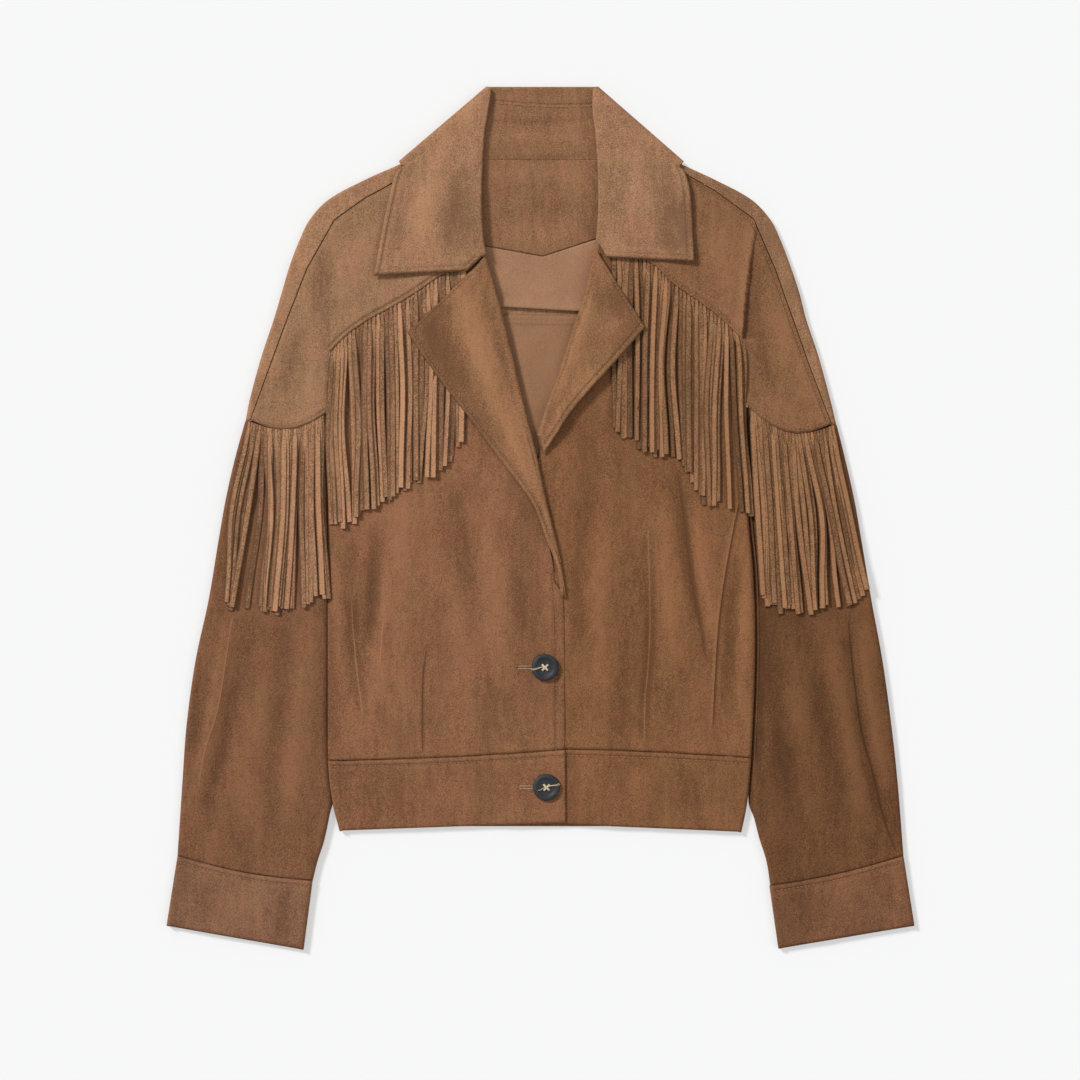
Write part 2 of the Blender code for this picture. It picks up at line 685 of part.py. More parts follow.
def lapel(side):
    """A lapel: from its return inside the front, round the roll and over to its free edge."""
    rows = 11
    shares = np.linspace(0, 1, rows)
    roll = through(LAPEL_ROLL[side], shares)
    free = through(LAPEL_EDGE[side], shares)
    dense = through(LAPEL_ROLL[side], np.linspace(0, 1, 101))
    normals = -beside(dense, side)
    sections = []
    for i in range(rows):
        inward = normals[i * 10]
        share = i / (rows - 1)
        edge = roll[i]
        far = free[i]
        if i == 0:
            edge = edge + np.array([0.0, -GAP])
            far = far + np.array([0.0, -GAP])
        low = front_top(edge[0], edge[1], side) - WALL
        lift = 1.0 - 0.5 * share

        def top(x, y, u):
            return LAPEL_EDGE_TOP + (LAPEL_ROLL_TOP - LAPEL_EDGE_TOP) * lift * (1 - u) ** 2

        radius = (top(0, 0, 0.0) - low) / 2
        under = LAPEL_SET_BACK - radius - (LAPEL_ROOM if i else NOTCH_ROOM)
        sections.append(curled(edge, inward, far, low, top, under, 6))
    return loft(f"lapel_{side}", sections, "suede_collar", flip=(side == "right"))


def collar():
    """The collar: left leaf, fold, back fall, fold and right leaf in one wall."""
    shares = (0.0, 0.1, 0.22, 0.42, 0.62, 0.82, 1.0)

    def section(roll, free, normal, z_of, kink=0.0, kink_at=0.17):
        run = free - roll
        run = run / np.linalg.norm(run)
        points = []
        z_roll = z_of(0.0)
        for turn in (math.pi / 2, math.pi / 4):
            spot = roll - run * HOOK * math.sin(turn)
            drop = HOOK * (1 - math.cos(turn))
            points.append((spot[0] - normal[0] * drop, spot[1] - normal[1] * drop,
                           z_roll - normal[2] * drop))
        for u in shares:
            spot = roll + (free - roll) * u
            bent = kink * (u / kink_at if u < kink_at else (1 - u) / (1 - kink_at))
            points.append((spot[0], spot[1] - bent, z_of(u)))
        return points

    halves = {}
    for side in ("left", "right"):
        part = []
        for i, (rc, rr, fc, fr, lift) in enumerate(COLLAR_LEAF[side]):
            fade = max(0.0, 1 - i / 3)
            kink = COLLAR_KINK_DEEP * STEP * fade

            def height(u, lift=lift):
                return LEAF_EDGE_TOP + (LEAF_ROLL_TOP - LEAF_EDGE_TOP) * lift * (1 - u) ** 2

            part.append(section(at(rc, rr), at(fc, fr), (0, 0, 1), height, kink,
                                COLLAR_KINK[side]))
        a = at(*COLLAR_FOLD[side][0])
        b = at(*COLLAR_FOLD[side][1])
        run = (b - a) / np.linalg.norm(b - a)
        out = np.array([run[1], -run[0]]) * (1.0 if side == "right" else -1.0)
        if out[1] < 0:
            out = -out
        radius = LEAF_EDGE_TOP / 2
        for step in range(5):
            turn = math.pi * step / 4
            shift = out * radius * (math.sin(turn) - 1)
            z = radius * (1 + math.cos(turn))
            normal = (out[0] * math.sin(turn), out[1] * math.sin(turn), math.cos(turn))
            start = a + run * HOOK + shift
            part.append(section(start, b + shift, normal, lambda u, z=z: z))
        halves[side] = part
    rows = halves["left"]
    for rc, rr, fc, fr in COLLAR_FALL:
        rows.append(section(at(rc, rr), at(fc, fr), (0, 0, -1), lambda u: 0.0))
    rows += halves["right"][::-1]
    return loft("collar", rows, "suede_collar", flip=True)


def row_of(line, col):
    """The row of a broken line at a column."""
    return float(np.interp(col, [place[0] for place in line], [place[1] for place in line]))


def stand_and_inside():
    """The stand, facing and lining that show in the neck opening."""
    first_col, last_col = STAND_COLS
    narrows, from_row, over_rows = STAND_NARROWS
    rows = []
    for row in np.linspace(STAND_ROWS[0], STAND_ROWS[1], 6):
        y = at(0, row)[1]
        inset = narrows * soft((from_row - row) / over_rows)
        xs = np.linspace(at(first_col + inset, 0)[0], at(last_col - inset, 0)[0], 9)
        rows.append([(x, y, STAND_TOP) for x in xs])
    for turn in (math.pi / 4, math.pi / 2):
        y = at(0, STAND_ROWS[1])[1] + STAND_HOOK * math.sin(turn)
        z = STAND_TOP - STAND_HOOK * (1 - math.cos(turn))
        xs = np.linspace(at(first_col + narrows, 0)[0], at(last_col - narrows, 0)[0], 9)
        rows.append([(x, y, z) for x in xs])
    loft("collar_stand", rows, "suede_collar")

    for name, top, low, left, right, count, lift, wall, finish in INNER_SHEETS:
        sheet = []
        for t in np.linspace(0.0, 1.0, count + 1):
            first = left[0] + (left[1] - left[0]) * t
            last = right[0] + (right[1] - right[0]) * t
            line = []
            for col in np.linspace(first, last, 9):
                row = row_of(top, col) * (1 - t) + row_of(low, col) * t
                x, y = at(col, row)
                line.append((x, y, yoke_floor(x, y) + WALL + GAP + wall + lift))
            sheet.append(line)
        loft(name, sheet, finish, flip=True, wall=wall)


def fringe(name, roots, ends, count, height):
    """Strands hung from a narrow strip: each is drawn out of a face of the strip's lower side."""
    pitch_share = 1.0 / count
    cuts = []
    for i in range(count):
        middle = (i + 0.5) * pitch_share
        half = pitch_share * STRAND_FILL / 2
        cuts += [middle - half, middle + half]
    line = roots(cuts)
    mesh = bmesh.new()
    corners = []
    for x, y in line:
        quad = []
        for down, up in ((0.0, 0.0), (0.0, 1.0), (1.0, 1.0), (1.0, 0.0)):
            py = y - GAP - down * STRIP_DEEP
            quad.append(mesh.verts.new((x, py, height(x, py) + GAP + STRAND_THICK * up)))
        corners.append(quad)
    mesh.faces.new(corners[0])
    mesh.faces.new(corners[-1][::-1])
    strand_faces = []
    for i in range(len(corners) - 1):
        for k in range(4):
            m = (k + 1) % 4
            face = mesh.faces.new((corners[i][k], corners[i + 1][k], corners[i + 1][m],
                                   corners[i][m]))
            if k == 2 and i % 2 == 0:
                strand_faces.append(face)
    mesh.normal_update()
    table = np.array(ends, float)
    for i, face in enumerate(strand_faces):
        share = i / (count - 1)
        col = float(np.interp(share, table[:, 0], table[:, 1]))
        row = float(np.interp(share, table[:, 0], table[:, 2]))
        row += END_WAVE[0] * math.sin(2.3 * i) + END_WAVE[1] * math.sin(5.1 * i + 1.0)
        end = at(col, row)
        base = np.mean([tuple(v.co) for v in face.verts], axis=0)[:2]
        left_x = min(v.co.x for v in face.verts)
        width = max(v.co.x for v in face.verts) - left_x
        for step in range(1, STRAND_SPANS + 1):
            t = step / STRAND_SPANS
            sway = SWAY * math.sin(math.pi * t) * math.sin(0.5 * i)
            middle = base + (end - base) * t
            lean = base[0] + (end[0] - base[0]) * (t ** LEAN) + sway
            made = bmesh.ops.extrude_discrete_faces(mesh, faces=[face])
            face = made["faces"][0]
            verts = sorted(face.verts, key=lambda v: v.co.x)
            for k, vert in enumerate(verts):
                side_x = -width / 2 if k < 2 else width / 2
                vert.co.x = lean + side_x
                vert.co.y = middle[1]
            for pair in (verts[:2], verts[2:]):
                low, high = sorted(pair, key=lambda v: v.co.z)
                z = height(low.co.x, low.co.y) + GAP
                low.co.z = z
                high.co.z = z + STRAND_THICK
    bmesh.ops.recalc_face_normals(mesh, faces=mesh.faces)
    data = bpy.data.meshes.new(name)
    mesh.to_mesh(data)
    mesh.free()
    return place(name, data, "suede_fringe")


def fringes():
    for side in ("left", "right"):
        first, last = YOKE_ROOTS[side]

        def yoke_roots(cuts, side=side, first=first, last=last):
            shares = [last + (first - last) * c for c in cuts]
            if side == "right":
                shares = [first + (last - first) * c for c in cuts]
            return through(YOKE_SEAM[side], shares)

        def body(x, y, side=side):
            return front_top(x, y, side)

        fringe(f"yoke_fringe_{side}", yoke_roots, YOKE_ENDS[side], YOKE_STRANDS, body)
        bow = SEAM_BOW[side]
        a = at(*SLEEVE_OUTER[side][0])
        b = at(*SLEEVE_INNER[side][0])
        if side == "right":
            a, b = b, a

        def sleeve_roots(cuts, a=a, b=b, bow=bow):
            first, last = SLEEVE_ROOTS
            us = [first + (last - first) * c for c in cuts]
            line = [a + (b - a) * u - np.array([0.0, bow * math.sin(math.pi * u)]) for u in us]
            return np.array(line)

        def sleeve(x, y):
            return SLEEVE_TOP

        fringe(f"sleeve_fringe_{side}", sleeve_roots, SLEEVE_ENDS[side], SLEEVE_STRANDS, sleeve)


def buttons():
    """Two four-hole buttons with a raised rim, turned from a profile and drilled."""
    cutters = bpy.data.collections.new("cutters")
    bpy.context.scene.collection.children.link(cutters)
    for name, col, row in BUTTONS:
        x, y = at(col, row)
        low = front_top(x, y, "left") + GAP
        radius = BUTTON_ACROSS / 2
        profile = [(0.0, 0.0, 0.0)]
        profile += [(radius * share, 0.0, rise) for share, rise in BUTTON_RISE]
        profile.append((0.0, 0.0, BUTTON_BASE))
        mesh = bpy.data.meshes.new(name)
        mesh.from_pydata(profile, [(i, i + 1) for i in range(len(profile) - 1)], [])
        obj = place(name, mesh, "button_resin")
        turn = obj.modifiers.new("turn", "SCREW")
        turn.axis = "Z"
        turn.angle = math.tau
        turn.screw_offset = 0.0
        turn.steps = BUTTON_SIDES
        turn.render_steps = BUTTON_SIDES
        turn.use_merge_vertices = True
        turn.merge_threshold = 0.00001
        turn.use_normal_calculate = True
        obj.location = (x * 0.001, y * 0.001, low * 0.001)
        for i, (dx, dy) in enumerate(((1, 1), (1, -1), (-1, 1), (-1, -1))):
            bpy.ops.mesh.primitive_cylinder_add(
                vertices=HOLE_SIDES, radius=BUTTON_HOLE / 2 * 0.001, depth=DRILL_DEEP * 0.001,
                location=((x + dx * BUTTON_HOLE_APART / 2) * 0.001,
                          (y + dy * BUTTON_HOLE_APART / 2) * 0.001,
                          (low + BUTTON_BASE / 2) * 0.001))
            cutter = bpy.context.object
            cutter.name = f"{name}_drill_{i}"
            for owner in list(cutter.users_collection):
                owner.objects.unlink(cutter)
            cutters.objects.link(cutter)
            cutter.hide_render = True
            cutter.display_type = "WIRE"
            cut = obj.modifiers.new(f"hole_{i}", "BOOLEAN")
            cut.operation = "DIFFERENCE"
            cut.solver = "EXACT"
            cut.object = cutter


def main():
    for obj in list(bpy.data.objects):
        bpy.data.objects.remove(obj)
    back_yoke()
    back_panels()
    for side in ("left", "right"):
        front(side)
        front_yoke(side)
        band(side)
        sleeve(side)
        lapel(side)
    collar()
    stand_and_inside()
    fringes()
    buttons()


main()
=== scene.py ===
"""Fringed cropped suede jacket laid flat on its back: cloth, fringe, sewing, buttons and stage.

Lengths are in millimetres until a mesh is made. X runs to the right, Y up to the neck, Z up from
the floor. Pattern tables are in grid steps of STEP mm: col counts from the left, row from the top.
Left and right are the drawing's, seen from above with the neck up.
"""

import math

import bmesh
import bpy
import numpy as np
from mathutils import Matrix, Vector
from mathutils.bvhtree import BVHTree


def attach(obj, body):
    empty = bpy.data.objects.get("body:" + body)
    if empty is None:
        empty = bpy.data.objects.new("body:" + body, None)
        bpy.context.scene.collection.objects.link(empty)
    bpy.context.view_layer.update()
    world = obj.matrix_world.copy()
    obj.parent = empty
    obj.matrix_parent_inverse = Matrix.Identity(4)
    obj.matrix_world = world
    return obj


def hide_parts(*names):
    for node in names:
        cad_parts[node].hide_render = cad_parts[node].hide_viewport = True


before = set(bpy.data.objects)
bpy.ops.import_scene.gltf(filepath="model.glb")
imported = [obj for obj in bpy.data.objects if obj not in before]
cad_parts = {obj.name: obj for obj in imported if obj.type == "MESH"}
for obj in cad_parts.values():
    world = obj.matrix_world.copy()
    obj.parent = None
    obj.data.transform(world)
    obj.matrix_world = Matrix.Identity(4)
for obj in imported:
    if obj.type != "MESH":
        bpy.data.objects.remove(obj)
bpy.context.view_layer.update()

bl_info = {
    "name": "Fringed cropped jacket",
    "version": (1, 0, 0),
    "blender": (4, 5, 0),
    "location": "View3D > Sidebar > Jacket",
    "description": "Dresses a fringed suede jacket that lies flat, piece by piece",
    "category": "Add Mesh",
}

# Driving sizes, in millimetres unless a line says otherwise. STEP is one step of the pattern grid.
MM = 0.001
STEP = 0.86
MID_COL = 540.5
MID_ROW = 518.2
WALL = 1.5
THIN_WALL = 1.0
GAP = 0.14
BODY_TOP = 6.5
SLEEVE_TOP = 6.8
LEFT_OVER = 1.1
RIGHT_UNDER = 0.7
SEAM_RISE = 1.9
NECK_RISE = 1.1
FALL_ROOM = 2.1
FALL_LOW = 252.0
FALL_HIGH = 288.0
LEAF_EDGE_TOP = 10.6
LEAF_ROLL_TOP = 12.6
LAPEL_EDGE_TOP = 10.0
LAPEL_ROLL_TOP = 11.2
# How far the free edges stand off the fronts and yokes.
LAPEL_LIFT = {"left": 1.0, "right": 4.2}
LEAF_LIFT = 1.9
HOOK = 1.9
STAND_HOOK = 2.2
SIDE_UNDER = 8.0
LAPEL_SET_BACK = 6.0
LAPEL_UNDER = 1.4
FACING_WALL = 1.2
LINING_MOUTH = 2.4
STRIP_DEEP = 8.0
STRIP_WALL = 0.5
# How far the rows of stitches lie from the edge or seam beside them.
EDGE_SEWN = 8.0
BAND_SEWN = 5.2
CUFF_SEWN = 5.0
YOKE_SEWN = 3.4
LAPEL_SEWN = 4.6
COLLAR_SEWN = 5.0
GROOVE_DEEP = 0.42
GROOVE_PUFF = 0.22
UNSEWN = 12.0
STAND_TOP = 5.4
STAND_NARROWS = 14.0
BUTTON_ACROSS = 23.0
BUTTON_THICK = 3.6
BUTTON_HOLE = 2.0
BUTTON_HOLE_APART = 5.2
BUTTON_THREAD = 0.42
# Columns: share of the radius, height over the button's base.
BUTTON_PROFILE = (
    (0.0, 0.0), (0.60, 0.0), (0.86, 0.5), (0.97, 1.3), (1.0, 2.0), (0.985, 2.7), (0.94, 3.25),
    (0.87, 3.55), (0.80, BUTTON_THICK), (0.73, 3.5), (0.67, 3.15), (0.625, 2.7), (0.57, 2.42),
    (0.40, 2.3), (0.0, 2.25),
)
CAMERA_WIDE = 928.8
CAMERA_MIDDLE = (540.0, 540.0)
CAMERA_LENS = 100.0
CAMERA_SENSOR = 36.0
# In metres: how far the camera sees, the floor's side and how far it lies under the jacket.
CAMERA_REACH = 50.0
FLOOR_WIDE = 16.0
FLOOR_UNDER = 0.0004
FLOOR_GLOW = (0.938, 0.934, 0.928)
FLOOR_GLOW_STRENGTH = 0.45
AMBIENT = 0.40
AMBIENT_COLOUR = (1.0, 0.99, 0.975, 1.0)
# Columns: name, where it stands in metres, strength, how wide it looks in degrees.
LAMPS = (
    ("key_lamp", (-1.5, 1.3, 1.55), 2.7, 13.0),
    ("fill_lamp", (1.8, -0.6, 2.2), 0.5, 40.0),
)

# How finely each piece is drawn. Columns: rows of points, points across what shows. The yokes'
# rows are counted along the fringed seam and beside the sleeve, the collar's between two sections.
FRONT_FINE = (170, 110)
BAND_FINE = (34, 92)
YOKE_FINE = (96, 34, 74)
SLEEVE_FINE = (150, 56)
CUFF_FINE = (34, 56)
LAPEL_FINE = (96, 56)
COLLAR_FINE = (9, 60)
STAND_FINE = (60, 50)
BACK_ACROSS = 100
STRAND_POINTS = 26
STRIP_POINTS = 8

SIDES = ("left", "right")
INWARD = {"left": 1.0, "right": -1.0}
SIDE_SEED = {"left": 0, "right": 10}
STAND_SEED = 131
STITCH_SEED = 7
STITCH_LEAN = 0.10
STITCH_TREE = "stitches_along_lines"
STRAND_TREE = "strands_along_lines"
# Seeds of the yoke's and the sleeve's strands.
FRINGE_SEEDS = {"left": (3, 8), "right": (5, 13)}
# The share of a seam from which the strands curve over the armpit. Past 1 none do.
FRINGE_ARMPIT = {"left": 2.0, "right": 0.86}
NO_ARMPIT = 2.0
# How many strands of a row lie low, between and on top, as heights and their odds.
STRAND_LAYERS = (0.0, 0.5, 1.0)
STRAND_LAYER_ODDS = (0.45, 0.3, 0.25)
ROOT_RISE = 1.5
# Columns: from one stitch to the next, its length, the thread's thickness, how far it sinks in.
TACK_STITCH = (0.9, 2.0, 0.7, 0.0)
LINING_STITCH = (2.6, 1.7, 0.45, 0.12)
BUTTONHOLE_STITCH = (1.15, 1.25, 0.55, 0.05)
SEAM_STITCH_SINKS = 0.12
# How far the sleeves' nap is turned from the fronts', in radians.
SLEEVE_NAP_TURN = 0.16
# The pieces that lie over the fringe.
ROOF_NODES = ("collar", "lapel_left", "lapel_right")

# Columns: col, row. The garment's outer edge from the neck point to the sleeve seam.
SILHOUETTE = {
    "left": (
        (470, 136), (430, 151), (393, 168), (366, 180), (329, 200), (310, 220), (300, 240),
        (290, 266), (282, 293), (274, 320), (262, 356), (250, 400), (246, 421),
    ),
    "right": (
        (610, 134), (650, 150), (688, 168), (714, 180), (751, 200), (770, 220), (780, 240),
        (790, 266), (799, 293), (806, 320), (818, 356), (830, 400), (836, 425),
    ),
}
SLEEVE_OUTER = {
    "left": (
        (245.6, 422), (235, 460), (226, 500), (219, 540), (209, 600), (196, 660), (187, 725),
        (183, 780), (178, 855),
    ),
    "right": (
        (836.4, 426), (845, 460), (854, 500), (861, 540), (871, 600), (882, 660), (891, 725),
        (897, 780), (903, 855),
    ),
}
BODY_SIDE = {
    "left": (
        (331, 352), (329, 385), (328, 430), (328, 520), (328, 640), (328, 760), (330, 785),
        (334, 808), (340, 831),
    ),
    "right": (
        (741, 340), (744, 385), (746, 440), (749, 516), (754, 570), (756, 635), (755, 690),
        (752, 757), (750, 785), (747, 808), (742, 832),
    ),
}
SLEEVE_INNER = {
    "left": (
        (327.3, 414), (327.3, 520), (327.3, 640), (327.3, 752), (329, 778), (331.5, 800),
        (325, 838), (318, 860), (313, 880),
    ),
    "right": (
        (746.6, 408), (750, 516), (755, 570), (757, 635), (756, 690), (753, 757),
        (750.4, 800), (757, 834), (765, 860), (769, 885),
    ),
}
SLEEVE_TOP_INNER = {
    "left": ((330.5, 351.5), (328, 385), (327.3, 413)),
    "right": ((741.8, 339.5), (744.6, 385), (746.6, 407)),
}
BAND_START = {"left": 5, "right": 7}
BAND_DIP = {"left": 1.7, "right": -1.7}
BAND_EDGE = {"left": ((565.5, 749), (566, 822)), "right": ((522, 748), (522, 822))}
SEAM_BOW = {"left": 13.0 * STEP, "right": 17.0 * STEP}
CUFF_BOW = {"left": 4.0 * STEP, "right": 3.0 * STEP}
CUFF_END = {"left": ((167, 925), (304, 949)), "right": ((914, 925), (778, 948))}
LAPEL_ENDS_ROW = {"left": 580.0, "right": 455.0}
SHADOW_GAP = {"left": -0.1, "right": 0.8}
# How far the lower half of each sleeve runs in under the body.
SLEEVE_TUCK = {"left": 2.8, "right": 3.6}
ARMPIT_CLOSE = 0.35
SLEEVE_LAP = 0.5
# How far each sleeve sinks beside the body, and each front beside its sleeve.
SLEEVE_SINKS = {"left": 0.6, "right": 3.6}
FRONT_SINKS = {"left": 1.0, "right": -0.5}
YOKE_SEAM = {
    "left": ((484, 246), (450, 270), (423, 289), (401, 303), (367, 322), (346, 337), (331, 352)),
    "right": ((597, 238), (630, 252), (656, 268), (672, 284), (702, 305), (724, 323), (741, 340)),
}
SHOULDER_SEAM = {
    "left": (
        (470, 140), (430, 162), (389, 186), (363, 200), (337, 218), (325, 235), (311, 260),
        (298, 294), (289, 315), (270, 367), (256, 400), (250.6, 420.5),
    ),
    "right": (
        (610, 138), (650, 156), (686, 175), (714, 191), (743, 210), (757, 224), (768, 250),
        (782, 290), (793, 320), (806, 358), (821, 397), (831.4, 424.5),
    ),
}
FRONT_EDGE = {
    "left": (
        (487, 258), (499, 300), (513, 357), (526, 412), (536, 452), (545, 495), (552, 528),
        (559, 558), (564, 600), (565.5, 640), (565.5, 700), (565.5, 749),
    ),
    "right": (
        (593, 250), (585, 292), (573, 328), (560, 369), (546, 408), (535, 442), (527, 480),
        (523, 520), (522, 580), (522, 640), (522, 700), (522, 748),
    ),
}
LAPEL_EDGE = {
    "left": (
        (408, 333), (414, 343), (438, 378), (466, 414), (483, 437), (500, 460), (518, 483),
        (534, 507), (546, 539), (556, 564), (563.4, 592),
    ),
    "right": (
        (645, 328), (628, 348), (612, 366), (597, 382), (583, 398), (570, 414), (557, 434),
        (544, 454),
    ),
}
LAPEL_ROLL = {
    "left": ((487, 258), (499, 300), (513, 357), (526, 412), (536, 452), (545, 495), (554, 532),
             (561.5, 566), (565.4, 597)),
    "right": ((593, 250), (585, 292), (573, 328), (560, 369), (546, 408), (537.2, 436)),
}
# Columns: share of the silhouette from the neck, edge col, edge row, whether the end turns up.
BACK_YOKE_ROWS = {
    "left": (
        (1.00, 327.2, 412.5, 1), (0.86, 327.6, 398, 1), (0.72, 328, 383, 1),
        (0.58, 328.6, 367, 1), (0.43, 329.6, 351, 1), (0.31, 347, 350, 0), (0.29, 348, 385, 0),
        (0.27, 349, 425, 0), (0.22, 378, 425, 0), (0.15, 410, 425, 0), (0.08, 440, 425, 0),
        (0.00, 470, 425, 0),
    ),
    "right": (
        (1.00, 746.8, 406.5, 1), (0.86, 746, 392, 1), (0.72, 745, 376, 1), (0.58, 744, 358, 1),
        (0.43, 743, 339, 1), (0.31, 724, 338, 0), (0.29, 723, 380, 0), (0.27, 722, 425, 0),
        (0.22, 702, 425, 0), (0.15, 670, 425, 0), (0.08, 640, 425, 0), (0.00, 610, 425, 0),
    ),
}
# Columns: piece, first row, last row, number of rows.
BACK_PANELS = (("back_body", 425.4, 756, 90), ("hem_band_back", 756.6, 826, 16))
# Columns: neck col, neck row, edge col, edge row, across the back's middle.
BACK_NECK_ROWS = ((492, 151, 494, 425), (516, 158, 517, 425), (540, 160, 540, 425),
                  (564, 158, 563, 425), (588, 150, 586, 425))
# Columns: roll col, roll row, free col, free row, lift of the roll from 0 to 1.
COLLAR_LEAF = {
    "left": (
        (484.5, 256, 374, 277, 1.0), (481.5, 238, 380, 244, 1.0), (480, 212, 386, 214, 1.0),
        (480, 188, 391, 192, 1.0), (481, 162, 395, 177, 0.8), (483, 135, 399, 171, 0.5),
        (487, 112, 401.5, 169, 0.25),
    ),
    "right": (
        (597.5, 244, 694, 263, 1.0), (599, 228, 692.5, 236, 1.0), (600, 208, 691.5, 214, 1.0),
        (600, 186, 689.5, 192, 1.0), (599, 160, 686, 178, 0.8), (597, 135, 682.5, 171, 0.5),
        (594, 112, 680, 169, 0.25),
    ),
}
COLLAR_KINK = {"left": 0.16, "right": 0.09}
COLLAR_KINK_DEEP = 13.0
COLLAR_FOLD = {"left": ((487.5, 86.5), (399, 162)), "right": ((597, 86.5), (683.5, 162))}
# Columns: roll col, roll row, free col, free row, from the left fold to the right one.
COLLAR_FALL = ((500, 90.6, 425, 172), (512, 90, 462, 175), (526, 90, 502, 177),
               (542, 90, 542, 178), (558, 90, 581, 177), (572, 90, 620, 175),
               (585, 90.6, 658, 172))
# Columns: share along the roots, end col, end row.
YOKE_ENDS = {
    "left": (
        (0.0, 329, 525), (0.1, 343, 527), (0.16, 355, 523), (0.24, 362, 514), (0.35, 380, 503),
        (0.5, 399, 491), (0.6, 412, 484), (0.7, 424, 481), (0.78, 434, 474), (0.87, 446, 463),
        (0.93, 453, 454), (1.0, 464, 440),
    ),
    "right": (
        (0.0, 611, 430), (0.1, 627, 440), (0.22, 642, 447), (0.35, 657, 452), (0.42, 661, 454),
        (0.47, 677, 457), (0.56, 687, 475), (0.64, 696, 487), (0.72, 705, 506), (0.8, 713, 502),
        (0.85, 719, 503), (0.89, 741, 512), (0.93, 747, 515), (1.0, 751, 518),
    ),
}
YOKE_ROOTS = {"left": (1.0, 0.12), "right": (0.09, 1.0)}
SLEEVE_ENDS = {
    "left": (
        (0.0, 225, 603), (0.16, 233, 608), (0.22, 262, 609), (0.38, 272, 610), (0.42, 275, 612),
        (0.52, 281, 611), (0.56, 285, 610), (0.66, 292, 609), (0.7, 303, 606), (0.8, 311, 606),
        (0.84, 317, 592), (0.9, 322, 590), (0.93, 325, 600), (1.0, 329, 599),
    ),
    "right": (
        (0.0, 760, 594), (0.1, 766, 600), (0.14, 769, 605), (0.22, 774, 606), (0.27, 783, 609),
        (0.37, 789, 610), (0.41, 795, 612), (0.5, 801, 611), (0.54, 809, 610), (0.7, 823, 609),
        (0.76, 846, 606), (0.86, 853, 603), (0.9, 857, 598), (1.0, 868, 588),
    ),
}
SLEEVE_ROOTS = (0.04, 0.965)
BUTTONS = (("button_upper", 545.0, 667.0), ("button_lower", 546.5, 786.5))
# Where the loose ends of each button's thread lie.
BUTTON_TAILS = {"button_upper": ((530.5, 668), (531.5, 669)),
                "button_lower": ((559, 782), (560, 783), (538, 789))}
STAND_SEAM = ((482, 103), (520, 106), (550, 108), (604, 107))
LINING_HEM_ROWS = (((485, 318.6), (530, 319.6), (590, 320.4)),
                   ((485, 323.0), (530, 324.0), (590, 324.6)))
SHOULDER_TACKS = (((249, 401), (255, 404)), ((826, 408), (832, 406)))
# Columns: col from the button, row from the button. The two sides of a buttonhole.
BUTTONHOLE_ROWS = (((-26, -1.3), (4, -1.3)), ((-26, 1.3), (4, 1.3)))

CREASE_GAIN = 1.6
WAVE_GAIN = 1.35
# Creases. Columns: height in mm, half width in mm, then cols and rows of the places it runs by.
BODY_CREASES = (
    (-1.5, 6.0, ((377, 524), (376, 560), (374, 605), (370, 650))),
    (1.2, 7.0, ((388, 560), (385, 610), (382, 655), (383, 705))),
    (-0.7, 5.0, ((425, 640), (424, 690), (424, 752))),
    (0.9, 10.0, ((404, 500), (400, 560), (402, 640), (408, 720))),
    (-0.8, 9.0, ((352, 520), (350, 580), (354, 640), (358, 700))),
    (0.7, 8.0, ((338, 560), (340, 620), (343, 690))),
    (-0.9, 9.0, ((452, 470), (462, 520), (468, 575), (470, 640))),
    (0.9, 12.0, ((478, 500), (490, 560), (498, 620), (500, 690))),
    (-0.7, 7.0, ((512, 560), (524, 610), (530, 645))),
    (-0.6, 8.0, ((505, 690), (512, 715), (510, 745))),
    (-1.7, 5.5, ((678, 468), (684, 520), (692, 575), (702, 630), (707, 665))),
    (1.3, 8.0, ((694, 500), (702, 555), (713, 615), (716, 655))),
    (1.0, 9.0, ((664, 500), (668, 560), (676, 620), (682, 670))),
    (-0.7, 4.0, ((649, 575), (650, 630), (647, 680), (643, 742))),
    (0.8, 12.0, ((612, 470), (606, 540), (604, 610), (608, 700))),
    (-0.8, 10.0, ((582, 500), (577, 560), (580, 620), (588, 680))),
    (-0.8, 8.0, ((628, 640), (624, 690), (622, 738))),
    (-0.9, 6.0, ((735, 560), (732, 610), (730, 670), (729, 720))),
    (0.8, 6.0, ((744, 540), (746, 600), (745, 660), (742, 720))),
)
YOKE_CREASES = (
    (-0.7, 10.0, ((330, 250), (326, 280), (320, 315))),
    (0.8, 13.0, ((352, 240), (350, 270), (344, 305))),
    (-0.7, 11.0, ((300, 330), (296, 360), (288, 400))),
    (0.6, 11.0, ((380, 225), (366, 255), (360, 285))),
    (0.7, 12.0, ((716, 225), (715, 255), (722, 290))),
    (-0.7, 12.0, ((690, 235), (700, 262), (712, 292))),
    (0.8, 10.0, ((776, 290), (781, 330), (790, 370))),
    (-0.7, 9.0, ((762, 330), (768, 360), (772, 400))),
    (0.6, 8.0, ((800, 360), (808, 385), (815, 405))),
)
